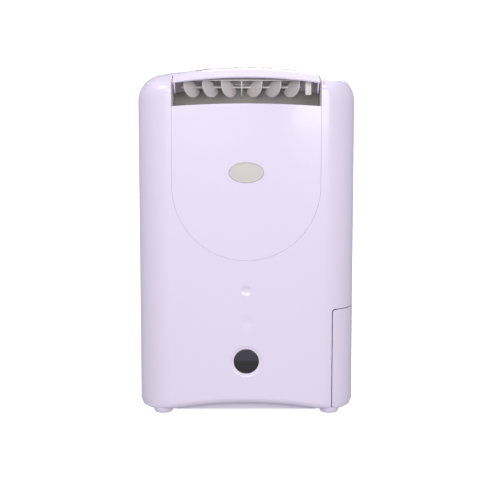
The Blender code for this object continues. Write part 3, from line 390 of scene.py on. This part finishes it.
# ---- finishing: normals, rounded edges, body, material slot -------------------------------------
def dress(obj, node, mat, edge=0.3, angle=38, weld=0.02):
    """Welds slivers, rounds the sharp edges, and hands the piece to its CAD node's body."""
    bm = bmesh.new()
    bm.from_mesh(obj.data)
    bmesh.ops.remove_doubles(bm, verts=bm.verts, dist=weld * MM)
    bmesh.ops.dissolve_degenerate(bm, edges=bm.edges, dist=weld * MM)
    bm.to_mesh(obj.data)
    bm.free()
    obj.data.polygons.foreach_set("use_smooth", [True] * len(obj.data.polygons))
    if edge:
        bevel = obj.modifiers.new("edges", "BEVEL")
        bevel.width, bevel.segments, bevel.limit_method = edge * MM, 2, "ANGLE"
        bevel.angle_limit, bevel.use_clamp_overlap, bevel.miter_outer = math.radians(angle), False, "MITER_ARC"
        bevel.loop_slide = False
    weighted = obj.modifiers.new("normals", "WEIGHTED_NORMAL")
    weighted.mode, weighted.weight, weighted.keep_sharp = "FACE_AREA", 60, False
    obj.data.materials.clear()
    obj.data.materials.append(mat)
    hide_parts(node)
    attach(obj, NODES[node]["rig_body"])
    return obj


def smooth_node(node, mat, edge=0.0, segments=2):
    """A CAD node that stays, with a better material and rounded edges."""
    obj = NODES[node]
    obj.data.materials.clear()
    obj.data.materials.append(mat)
    if edge:
        bevel = obj.modifiers.new("edges", "BEVEL")
        bevel.width, bevel.segments, bevel.limit_method = edge * MM, segments, "ANGLE"
        bevel.angle_limit = math.radians(45)
        bevel.harden_normals = False
    return obj


# ---- materials ----------------------------------------------------------------------------------
def plastic(name, colour, roughness, bump=0.0, scale=1800, coat=0.0, mottle=0.0, metallic=0.0, specular=0.5):
    mat = bpy.data.materials.new(name)
    mat.use_nodes = True
    tree = mat.node_tree
    shader = tree.nodes["Principled BSDF"]
    shader.inputs["Base Color"].default_value = (*colour, 1)
    shader.inputs["Metallic"].default_value = metallic
    shader.inputs["Specular IOR Level"].default_value = specular
    shader.inputs["Coat Weight"].default_value = coat
    shader.inputs["Coat Roughness"].default_value = 0.06
    place = tree.nodes.new("ShaderNodeTexCoord")
    wide = tree.nodes.new("ShaderNodeTexNoise")
    wide.inputs["Scale"].default_value = 14
    wide.inputs["Detail"].default_value = 3
    tree.links.new(place.outputs["Object"], wide.inputs["Vector"])
    rough = tree.nodes.new("ShaderNodeMapRange")
    rough.inputs["To Min"].default_value = roughness * 0.88
    rough.inputs["To Max"].default_value = roughness * 1.14
    tree.links.new(wide.outputs["Fac"], rough.inputs["Value"])
    tree.links.new(rough.outputs["Result"], shader.inputs["Roughness"])
    if mottle:
        ramp = tree.nodes.new("ShaderNodeMix")
        ramp.data_type = "RGBA"
        ramp.inputs["A"].default_value = (*[c * (1 - mottle) for c in colour], 1)
        ramp.inputs["B"].default_value = (*[min(1, c * (1 + mottle)) for c in colour], 1)
        tree.links.new(wide.outputs["Fac"], ramp.inputs["Factor"])
        tree.links.new(ramp.outputs["Result"], shader.inputs["Base Color"])
    if bump:
        grain = tree.nodes.new("ShaderNodeTexNoise")
        grain.inputs["Scale"].default_value = scale
        grain.inputs["Detail"].default_value = 2
        tree.links.new(place.outputs["Object"], grain.inputs["Vector"])
        relief = tree.nodes.new("ShaderNodeBump")
        relief.inputs["Strength"].default_value = bump
        relief.inputs["Distance"].default_value = 0.0002
        tree.links.new(grain.outputs["Fac"], relief.inputs["Height"])
        tree.links.new(relief.outputs["Normal"], shader.inputs["Normal"])
    return mat


def painted_reflection_blend(mat, low, high, from_z, to_z):
    """Blends one colour into another between two heights, a painted reflection: the higher colour is painted
    light that the glossy surface would reflect.
    """
    tree = mat.node_tree
    height = tree.nodes.new("ShaderNodeSeparateXYZ")
    level = tree.nodes.new("ShaderNodeMapRange")
    level.inputs["From Min"].default_value = from_z
    level.inputs["From Max"].default_value = to_z
    tones = tree.nodes.new("ShaderNodeMix")
    tones.data_type = "RGBA"
    tones.inputs["A"].default_value = (*low, 1)
    tones.inputs["B"].default_value = (*high, 1)
    place = [n for n in tree.nodes if n.type == "TEX_COORD"][0]
    tree.links.new(place.outputs["Object"], height.inputs["Vector"])
    tree.links.new(height.outputs["Z"], level.inputs["Value"])
    tree.links.new(level.outputs["Result"], tones.inputs["Factor"])
    tree.links.new(tones.outputs["Result"], tree.nodes["Principled BSDF"].inputs["Base Color"])


# the window lens's dark colour below, and the lighter painted reflection over its upper half
LENS_LOW, LENS_PAINTED_REFLECTION = (0.010, 0.009, 0.011), (0.036, 0.034, 0.055)
BODY = plastic("body_plastic", (0.80, 0.725, 0.90), 0.24, bump=0.05, scale=2600, coat=0.25, mottle=0.006)
FASCIA = plastic("fascia_plastic", (0.81, 0.735, 0.91), 0.20, bump=0.04, scale=2600, coat=0.3, mottle=0.006)
VANES = plastic("vane_plastic", (0.76, 0.70, 0.715), 0.33, bump=0.08, mottle=0.02)
DUCT = plastic("duct_plastic", (0.60, 0.545, 0.53), 0.45, bump=0.15, mottle=0.03)
LENS = plastic("lens_plastic", (0.035, 0.033, 0.042), 0.06, coat=1.0)
# painted reflection: the window lens is painted lighter over its upper half
painted_reflection_blend(LENS, LENS_LOW, LENS_PAINTED_REFLECTION, WINDOW_Z - 0.3 * MM, WINDOW_Z + 1.8 * MM)
PANEL = plastic("panel_plastic", (0.05, 0.05, 0.055), 0.22, bump=0.05, coat=0.4, mottle=0.08)
INDICATOR = plastic("indicator_plastic", (0.10, 0.11, 0.12), 0.12, bump=0.03, coat=0.8, mottle=0.08)
BADGE = plastic("badge_metal", (0.60, 0.57, 0.55), 0.48, bump=0.25, scale=1400, mottle=0.05, metallic=0.25)
FOOT = plastic("foot_plastic", (0.76, 0.69, 0.86), 0.38, bump=0.1, mottle=0.02)
INNER = plastic("inner_plastic", (0.26, 0.26, 0.28), 0.5, bump=0.3, scale=900, mottle=0.05)
BASE = plastic("base_plastic", (0.74, 0.69, 0.84), 0.45, bump=0.2, mottle=0.02)
TANK = plastic("tank_plastic", (0.55, 0.60, 0.68), 0.18, bump=0.05, coat=0.2, mottle=0.03)
CONDENSER = plastic("condenser_plastic", (0.62, 0.63, 0.64), 0.3, bump=0.1, mottle=0.04)
MEDIA = plastic("desiccant_media", (0.62, 0.58, 0.48), 0.9, bump=1.0, scale=600, mottle=0.2)
STEEL = plastic("plated_steel", (0.56, 0.56, 0.55), 0.32, bump=0.1, scale=500, mottle=0.06, metallic=1.0)
BOARD = plastic("board_lacquer", (0.02, 0.12, 0.05), 0.35, bump=0.4, scale=300, mottle=0.2)
RUBBER = plastic("gland_rubber", (0.03, 0.03, 0.032), 0.65, bump=0.3, mottle=0.1)
MESH = plastic("filter_cloth", (0.05, 0.05, 0.055), 0.75, bump=1.0, scale=1500, mottle=0.15)

# ---- cutters ------------------------------------------------------------------------------------
def fascia_shape(inset, drop, steps=120):
    half = FASCIA_HALF - inset
    xs = [half * (1 - i / 20) for i in range(41)]
    top = [(x, drop - FASCIA_DROP * (x / FASCIA_HALF) ** 2) for x in xs]
    return top + arc((0, FASCIA_ARC_Z), (half, half), 180, 360, steps)


def outlet_shape(name, half, radius, low):
    rear = arc((AXIS.y, AXIS.z), (radius, radius), -35, 62, 36)
    points = [(FRONT - 20 * MM, low), (rear[0][0], low)] + rear + [
        (rear[-1][0] + 12 * MM, AXIS.z + 45 * MM), (FRONT - 20 * MM, AXIS.z + 45 * MM)
    ]
    return slab(name, [points], 2 * half, (0, 0, 0), facing="X")


def tank_shape(name, gap, depth):
    x, z, r = TANK_SEAM_X + gap, TANK_TOP - gap, (4.5 * MM, 4.5 * MM)
    outline = [(170 * MM, z)] + arc((x + r[0], z - r[0]), r, 90, 180, 12) + [(x, -20 * MM), (170 * MM, -20 * MM)]
    return slab(name, [outline], depth + 30 * MM, (0, FRONT + depth / 2 - 15 * MM, 0))


def tray_shape(name, gap):
    front, step, rear = 14 * MM - gap, 25 * MM - gap, 161.3 * MM + gap
    wide, narrow, r = 118.4 * MM + gap, 97.5 * MM - gap, 12 * MM
    left = arc((-wide + r, front + r), (r, r), 180, 270, 8) + [(-narrow, front), (-narrow, step)]
    right = [(-x, t) for x, t in reversed(left)]
    outline = [(x, FRONT + t) for x, t in left + right + [(wide, rear), (-wide, rear)]]
    return slab(name, [outline], 32 * MM, (0, 0, 8.4 * MM), facing="Z")


def pockets():
    return [lathe(f"pocket_{i}", disc_profile(13.9 * MM, -11 * MM, 9.2 * MM), (x, FRONT + t, 0), steps=48)
            for i, (x, t) in enumerate(FEET)]


def common_cuts():
    return [tank_shape("tank_cut", 0, TANK_REAR - FRONT), tray_shape("tray_cut", 0.4 * MM), *pockets()]


# ---- front casing, fascia and louvre, all from one front form -----------------------------------
front_form = skin("front_form", FRONT_DEPTHS, front_cap=True)
front_casing = copy_of(front_form, "front_casing_look")
join(front_casing, lathe("boss", disc_profile(24 * MM, 1.4 * MM, 7.4 * MM), (0, FRONT, WINDOW_Z), "Y"))
cove = [(0, -8 * MM), (21.9 * MM, -8 * MM), (21.9 * MM, -0.05 * MM)]
cove += [
    (19.7 * MM + 2.0 * MM * math.cos(a), 1.1 * MM * math.sin(a))
    for a in (math.pi / 2 * i / 12 for i in range(13))
]
cove += [(18.0 * MM, 1.15 * MM), (17.5 * MM, 1.5 * MM), (17.3 * MM, 2.2 * MM)]
cove += [(17.3 * MM, 12 * MM), (0, 12 * MM)]
dimple_cuts = []
for number, (height, radius, depth) in enumerate(DIMPLES):
    ball = (radius**2 + depth**2) / (2 * depth)
    points = [(ball * math.sin(a), -ball * math.cos(a)) for a in (math.pi * i / 120 for i in range(121))]
    points[0], points[-1] = (0, -ball), (0, ball)
    dimple_cuts.append(lathe(f"dimple_{number}", points, (0, FRONT + depth - ball, height), "Y", 72))
cut(
    front_casing, slab("fascia_cut", [fascia_shape(0, 445 * MM)], 60 * MM, (0, FRONT, 0)),
    outlet_shape("outlet_cut", FASCIA_HALF, LOUVRE_REAR + 0.6 * MM, 425 * MM), *common_cuts(),
    lathe("window_cut", cove, (0, FRONT, WINDOW_Z), "Y"), *dimple_cuts,
)
dress(front_casing, "front_casing", BODY, edge=0.2)

fascia = copy_of(front_form, "front_fascia_look")
SEAM_GAP = 0.18 * MM
fascia_outline = fascia_shape(SEAM_GAP, FASCIA_TOP_Z - SEAM_GAP)
common(fascia, slab("fascia_limit", [fascia_outline], 60 * MM, (0, FRONT, 0)))
flange_xs = [x * MM for x in range(-96, 97, 6)]
flange = [(x, bowed(x, 1 * MM)) for x in flange_xs]
flange += [(96 * MM, FRONT + 10.2 * MM), (-96 * MM, FRONT + 10.2 * MM)]
join(fascia, slab("flange", [flange], 2.5 * MM, (0, 0, 424.2 * MM), "Z"))
badge_oval = arc((0, BADGE_Z), (23.8 * MM, 14.05 * MM), 0, 356, 89)
cut(fascia, slab("badge_cut", [badge_oval], 5 * MM, (0, FRONT - 0.9 * MM, 0)))
dress(fascia, "front_fascia", FASCIA, edge=0.14)

louvre = copy_of(front_form, "louvre_look")
common(louvre, outlet_shape("louvre_limit", LOUVRE_HALF, LOUVRE_REAR, 420 * MM))
cut(louvre, slab("below", [fascia_shape(-2 * MM, FASCIA_TOP_Z + 2.9 * MM)], 80 * MM, (0, FRONT, 0)))
louvre.data.transform(
    Matrix.Translation(AXIS) @ Matrix.Rotation(-LOUVRE_OPEN, 4, "X") @ Matrix.Translation(-AXIS)
)
CHEEK = arc((0, 0), (14 * MM, 14 * MM), 180, 318, 24) + [
    (y * MM, z * MM) for y, z in ((10.7, -4), (4.5, 1.5), (-3, 6), (-7, 8), (-14, 7))
]
for side in (-1, 1):
    outline = [(AXIS.y + y, AXIS.z + z) for y, z in CHEEK]
    join(louvre, slab("cheek", [outline], 2 * MM, (side * (LOUVRE_HALF - 1.2 * MM), 0, 0), "X"))
    pin_place = (side * 99.6 * MM, AXIS.y, AXIS.z)
    join(louvre, lathe("pin", disc_profile(1.6 * MM, -2.2 * MM, 2.2 * MM), pin_place, "X", 24))
dress(louvre, "louvre", BODY, edge=0.5)
louvre.data.materials.append(VANES)
for polygon in louvre.data.polygons:
    spoke = polygon.center - AXIS
    between_cheeks = abs(polygon.normal.x) < 0.7 and abs(polygon.center.x) < LOUVRE_HALF - 2.3 * MM
    if between_cheeks and polygon.normal.dot(spoke) < 0:
        polygon.material_index = 1
bpy.data.objects.remove(front_form)

# ---- tank cover ---------------------------------------------------------------------------------
cover = skin("tank_cover_look", WHOLE_DEPTHS, front_cap=True, rear_cap=True)
common(cover, tank_shape("cover_limit", 1.1 * MM, TANK_REAR - FRONT - 1.1 * MM))
for bounds_x, t, z in (
    ((119.6 * MM, 148.6 * MM), (50 * MM, 118 * MM), (44 * MM, 47 * MM)),
    ((119.6 * MM, 148.6 * MM), (50 * MM, 118 * MM), (96 * MM, 99 * MM)),
    ((124 * MM, 148.6 * MM), (58 * MM, 118 * MM), (116 * MM, 141 * MM)),
):
    join(cover, block("rib", bounds_x, t, z))
grip = block("grip", (126.5 * MM, 180 * MM), (61 * MM, 115 * MM), (118.5 * MM, 138.5 * MM), bevel=3 * MM)
cut(cover, tray_shape("tray_cut", 0.4 * MM), *pockets(), grip)
dress(cover, "tank_cover", BODY, edge=0.5)

# ---- rear casing --------------------------------------------------------------------------------
def bail(name, grow, thickness, z, steps=12):
    outer, inner = ARM[1] + grow, ARM[0] - grow
    front, rear = PIVOT_T - 4.5 * MM - 2.5 * grow, GRIP_T[1] + grow
    r, ri = 10 * MM, 4 * MM
    points = [(inner, front), (outer, front)] + arc((outer - r, rear - r), (r, r), 0, 90, steps)
    inside = arc((inner - ri, GRIP_T[0] - grow - ri), (ri, ri), 90, 0, 6)
    points = points + [(-x, t) for x, t in reversed(points)] + [(-x, t) for x, t in reversed(inside)] + inside
    return slab(name, [[(x, FRONT + t) for x, t in points]], thickness, (0, 0, z), "Z")


rear = skin("rear_casing_look", [SEAM + 0.8 * MM] + REAR_DEPTHS, rear_cap=True)
join(rear, block("collar", (-109 * MM, 109 * MM), (163 * MM, 176 * MM), (183 * MM, 431 * MM)))
body = sheet("trench_body", 99 * MM, 50 * MM, 156 * MM, 14 * MM, -1 * MM)
common(body, bail("outer", 3 * MM, 80 * MM, HEIGHT))
join(rear, body, sheet("pocket_body", 51 * MM, 109 * MM, 153 * MM, 23 * MM, -1 * MM))
trench = sheet("trench", 99 * MM, 50 * MM, 156 * MM, 11.9 * MM, 6 * MM)
common(trench, bail("inner", 0.8 * MM, 80 * MM, HEIGHT))
cut(
    rear, trench, sheet("finger", 48 * MM, 112 * MM, 150 * MM, 20 * MM, 6 * MM),
    block("panel_hole", (-PANEL_HALF, PANEL_HALF), PANEL_T, (465 * MM, 490 * MM)),
    block("intake_pocket", (-106 * MM, 106 * MM), (168.2 * MM, 190 * MM), (186 * MM, 428 * MM)),
    block("intake_hole", (-98 * MM, 98 * MM), (150 * MM, 190 * MM), (194 * MM, 420 * MM)),
    *common_cuts(),
    lathe("gland_cut", disc_profile(8.3 * MM, -15 * MM, 15 * MM), (GLAND[0], REAR, GLAND[1]), "Y", 48),
    *[lathe("screw_cut", disc_profile(4.3 * MM, -6 * MM, 6 * MM), (x, REAR, z), "Y", 36) for x, z in SCREWS],
)
dress(rear, "rear_casing", BODY, edge=0.35)

# ---- handle, panel, buttons ---------------------------------------------------------------------
handle = sheet("carry_handle_look", 99 * MM, 50 * MM, 156 * MM, 9.4 * MM, -0.4 * MM)
common(handle, bail("plan", 0, 80 * MM, HEIGHT))
pin_bore = disc_profile(2.7 * MM, -10 * MM, 10 * MM)
cut(handle, *[lathe("bore", pin_bore, (side * 88 * MM, FRONT + PIVOT_T, PIVOT_Z), "X", 32) for side in (-1, 1)])
dress(handle, "carry_handle", BODY, edge=1.4)

panel = sheet(
    "control_panel_look", PANEL_HALF - 0.4 * MM, PANEL_T[0] + 0.4 * MM, PANEL_T[1] - 0.4 * MM, 2.6 * MM, 0
)
slot_x, slot_t = (-45.3 * MM, 45.3 * MM), (LENS_T - 3.3 * MM, LENS_T + 3.3 * MM)
button_hole = disc_profile(BUTTON_R + 0.35 * MM, -10 * MM, 10 * MM)
cut(
    panel, block("indicator_cut", slot_x, slot_t, (465 * MM, 490 * MM)),
    *[lathe("hole", button_hole, (x, FRONT + BUTTON_T, crown_z(x, BUTTON_T)), "Z", 64) for x in BUTTON_X],
)
dress(panel, "control_panel", PANEL, edge=0.3)
strip = sheet("indicator_look", 45 * MM, LENS_T - 3 * MM, LENS_T + 3 * MM, 2.2 * MM, 0)
dress(strip, "indicator_lens", INDICATOR, edge=0.3)
for number, x in enumerate(BUTTON_X):
    top = 1.2 * MM
    profile = [(0, -4.8 * MM), (BUTTON_R, -4.8 * MM)]
    profile += [(BUTTON_R - 0.9 * MM + 0.9 * MM * math.cos(a), top - 0.9 * MM + 0.9 * MM * math.sin(a))
                for a in (math.pi / 2 * i / 5 for i in range(6))]
    profile += [(BUTTON_R * 0.55, top - 0.25 * MM), (BUTTON_R * 0.25, top - 0.42 * MM), (0, top - 0.45 * MM)]
    cap = lathe(f"button_{number + 1}_look", profile, (x, FRONT + BUTTON_T, crown_z(x, BUTTON_T)), "Z", 64)
    dress(cap, f"button_{number + 1}", BODY, edge=0)

# ---- badge, window, feet ------------------------------------------------------------------------
def oval_relief(name, half_x, half_z, levels, steps=96):
    """Rings of an ellipse, each at its own inset and depth, closed at both ends."""
    bm = bmesh.new()
    rings = []
    for inset, y in levels:
        rings.append([
            bm.verts.new(((half_x - inset) * math.cos(2 * math.pi * i / steps), FRONT + y,
                          BADGE_Z + (half_z - inset) * math.sin(2 * math.pi * i / steps))) for i in range(steps)
        ])
    for near, far in zip(rings, rings[1:]):
        for i in range(steps):
            j = (i + 1) % steps
            bm.faces.new((near[i], near[j], far[j], far[i]))
    for ring in (rings[0], rings[-1]):
        middle = bm.verts.new((0, sum(v.co.y for v in ring) / steps, BADGE_Z))
        for i in range(steps):
            bm.faces.new((ring[i], ring[(i + 1) % steps], middle))
    return add(name, mesh_from(bm, name))


badge = oval_relief("badge_look", 23.5 * MM, 13.75 * MM, [
    (0, 1.5 * MM), (0, -0.1 * MM), (0.2 * MM, -0.25 * MM), (0.6 * MM, -0.34 * MM), (1.0 * MM, -0.34 * MM),
    (1.3 * MM, -0.2 * MM), (1.9 * MM, -0.2 * MM), (7 * MM, -0.24 * MM), (11 * MM, -0.26 * MM),
])
dress(badge, "badge_plate", BADGE, edge=0)
lens_profile = [(0, 6.5 * MM), (16.9 * MM, 6.5 * MM), (16.9 * MM, 4.2 * MM)]
lens_profile += [(16.9 * MM - 0.9 * MM * (1 - math.cos(a)), 4.2 * MM - 0.9 * MM * math.sin(a))
                 for a in (math.pi / 2 * i / 4 for i in range(1, 5))]
lens_profile += [(r * MM, (3.3 - 0.9 * (1 - (r / 16) ** 2)) * MM) for r in (14, 12, 10, 8, 6, 4, 2, 0)]
window_lens = lathe("window_lens_look", lens_profile, (0, FRONT, WINDOW_Z), "Y")
dress(window_lens, "window_lens", LENS, edge=0)
foot_profile = [(0, 0), (9.4 * MM, 0), (10.6 * MM, 0.35 * MM), (11.8 * MM, 1.3 * MM), (12.7 * MM, 2.9 * MM),
                (13.2 * MM, 5 * MM), (13.3 * MM, 7.4 * MM), (13.1 * MM, 8.4 * MM), (12.6 * MM, 8.7 * MM),
                (0, 8.7 * MM)]
for (x, t), label in zip(FEET, ("front_left", "rear_left", "front_right", "rear_right")):
    foot = lathe(f"foot_{label}_look", foot_profile, (x, FRONT + t, 0), "Z", 64)
    dress(foot, f"foot_{label}", FOOT, edge=0)

# ---- vanes and duct -----------------------------------------------------------------------------
D_SHAPE = arc((0, 0), (VANE_R, VANE_R), 168, 322, 36)
D_SHAPE += [(y * MM, z * MM) for y, z in ((10, -6), (3, 0.3), (-4.5, 4.3))]
TIE_X = (VANE_CENTRE - 82 * MM, VANE_CENTRE + 82 * MM)
grille = block("vane_grille_look", TIE_X, (26 * MM, 28.5 * MM), (450.5 * MM, 453 * MM))
extras = [
    block("vane_top", (-93 * MM, 93 * MM), (6.5 * MM, 15 * MM), (460.7 * MM, 462.4 * MM)),
    block("vane_tie", TIE_X, (26.6 * MM, 27.8 * MM), (455 * MM, 456 * MM)),
    *[block("tab_rib", (80 * MM, 87 * MM), (6.5 * MM, 8 * MM), ((442.4 + 2 * rib) * MM, (443.4 + 2 * rib) * MM))
      for rib in range(4)],
    block("vane_tab", (79.5 * MM, 87.5 * MM), (7 * MM, 9 * MM), (441.6 * MM, 461.6 * MM), bevel=0.5 * MM),
]
for number in range(-3, 4):
    sign = (number > 0) - (number < 0)
    offset = sign * (VANE_FIRST + VANE_PITCH * (abs(number) - 1)) if number else 0
    vane = slab("vane", [D_SHAPE], 1.6 * MM, (0, 0, 0), "X")
    vane_place = Matrix.Translation((VANE_CENTRE + offset, AXIS.y, AXIS.z))
    vane.data.transform(vane_place @ Matrix.Rotation(VANE_TURN * sign, 4, "Z"))
    extras.append(vane)
join(grille, *extras)
dress(grille, "vane_grille", VANES, edge=0.35)

inner = [(26.2 * MM, 385 * MM), (72 * MM, 385 * MM)] + arc((28 * MM, 400 * MM), (44 * MM, 65 * MM), 0, 67, 32)
inner += [(t * MM, z * MM) for t, z in ((52, 460), (52, 470), (0, 470), (0, 429), (12, 427))]
outer = [(22 * MM, 392 * MM), (74.5 * MM, 392 * MM)] + arc((28 * MM, 400 * MM), (46.5 * MM, 67.5 * MM), 0, 74, 32)
outer += [
    (t * MM, z * MM)
    for t, z in ((38, 463), (25.7, 460.2), (22.5, 459.2), (16.9, 455.2), (12.3, 450.2), (10.6, 426.4))
]
duct = slab("outlet_duct_look", [[(FRONT + t, z) for t, z in outer]], 204 * MM, (0, 0, 0), "X")
cut(
    duct, slab("space", [[(FRONT + t, z) for t, z in inner]], 199.2 * MM, (0, 0, 0), "X"),
    *[lathe("bore", disc_profile(1.9 * MM, -4 * MM, 4 * MM), (side * 101 * MM, AXIS.y, AXIS.z), "X", 32)
      for side in (-1, 1)],
)
dress(duct, "outlet_duct", DUCT, edge=0.2)

# ---- the CAD nodes that stay --------------------------------------------------------------------
# each node that keeps its CAD mesh: its material and the radius of its edges in mm
KEPT = {
    "base_tray": (BASE, 0.6), "filter_frame": (BODY, 0.5), "filter_mesh": (MESH, 0),
    "condenser": (CONDENSER, 0.4), "drip_tray": (INNER, 0.5), "water_tank": (TANK, 0.5),
    "tank_lid": (INNER, 0.4), "tank_float": (CONDENSER, 0.5), "cable_gland": (RUBBER, 0.4),
    "rotor_ring": (INNER, 0), "rotor_media": (MEDIA, 0), "rotor_plate": (INNER, 0.3),
    "rotor_pinion": (INNER, 0), "fan_scroll": (INNER, 0.3), "fan_wheel": (INNER, 0),
    "louvre_motor": (INNER, 0.3), "board_cover": (INNER, 0.4), "humidity_sensor": (INNER, 0),
    "power_board": (BOARD, 0), "control_board": (BOARD, 0),
}
for name, node in NODES.items():
    if node.hide_render:
        continue
    mat, edge = KEPT.get(name, (STEEL, 0.25))
    smooth_node(name, mat, edge)

# ---- studio -------------------------------------------------------------------------------------
def stage_mesh():
    """A floor that curves up into a backdrop."""
    bm = bmesh.new()
    profile = [(-6.0, 0.0), (1.6, 0.0)]
    profile += [(1.6 + 1.2 * math.sin(a), 1.2 - 1.2 * math.cos(a)) for a in (math.pi / 2 * i / 16 for i in range(1, 17))]
    profile += [(2.8, 5.0)]
    rows = [[bm.verts.new((x, y, z)) for y, z in profile] for x in (-6.0, 6.0)]
    for i in range(len(profile) - 1):
        bm.faces.new((rows[0][i], rows[1][i], rows[1][i + 1], rows[0][i + 1]))
    return add("backdrop", mesh_from(bm, "backdrop"))


backdrop = stage_mesh()
backdrop.data.polygons.foreach_set("use_smooth", [True] * len(backdrop.data.polygons))
paper = bpy.data.materials.new("backdrop_paper")
paper.use_nodes = True
sheet_shader = paper.node_tree.nodes["Principled BSDF"]
sheet_shader.inputs["Base Color"].default_value = (0.5, 0.5, 0.5, 1)
sheet_shader.inputs["Roughness"].default_value = 0.9
sheet_shader.inputs["Emission Color"].default_value = (1, 1, 1, 1)
sheet_shader.inputs["Emission Strength"].default_value = 0.8
backdrop.data.materials.append(paper)
backdrop.visible_diffuse = backdrop.visible_glossy = False


def softbox(name, place, target, size, power):
    light = bpy.data.lights.new(name, "AREA")
    light.shape, light.size, light.size_y, light.energy = "RECTANGLE", size[0], size[1], power
    obj = bpy.data.objects.new(name, light)
    bpy.context.scene.collection.objects.link(obj)
    obj.location = place
    obj.rotation_euler = (Vector(target) - Vector(place)).to_track_quat("-Z", "Y").to_euler()
    obj.visible_camera = False


# name, place, the point it faces, its sides in metres, its watts
softbox("front_left", (-0.6, -2.4, 1.0), (0, 0, 0.25), (1.5, 1.2), 24)
softbox("front_right", (1.15, -2.3, 0.75), (0, 0, 0.3), (1.3, 0.9), 19)
softbox("over_left", (-1.0, -0.35, 1.45), (0, 0, 0.25), (0.36, 0.36), 5)
softbox("over_right", (0.6, -0.4, 1.85), (0, 0, 0.25), (0.34, 0.34), 4)
softbox("top", (0.0, 0.2, 2.2), (0, 0, 0.3), (1.2, 0.8), 5)
softbox("back", (0.3, 1.9, 1.5), (0, 0, 0.25), (1.0, 1.0), 22)

world = bpy.data.worlds.new("studio")
bpy.context.scene.world = world
world.use_nodes = True
world.node_tree.nodes["Background"].inputs["Color"].default_value = (0.97, 0.97, 1.0, 1)
world.node_tree.nodes["Background"].inputs["Strength"].default_value = 0.40
bpy.context.scene.view_settings.view_transform = "Standard"

camera = bpy.data.objects.new("camera", bpy.data.cameras.new("camera"))
bpy.context.scene.collection.objects.link(camera)
CAMERA_DISTANCE, CAMERA_HEIGHT, CAMERA_TILT = 1.695, 0.46, 7.2
camera.data.sensor_width = 36
camera.data.lens = 94.2
camera.location = (0.0, FRONT - CAMERA_DISTANCE, CAMERA_HEIGHT)
camera.rotation_euler = (math.radians(90 - CAMERA_TILT), 0, 0)
camera.data.shift_x = -0.0131
bpy.context.scene.camera = camera
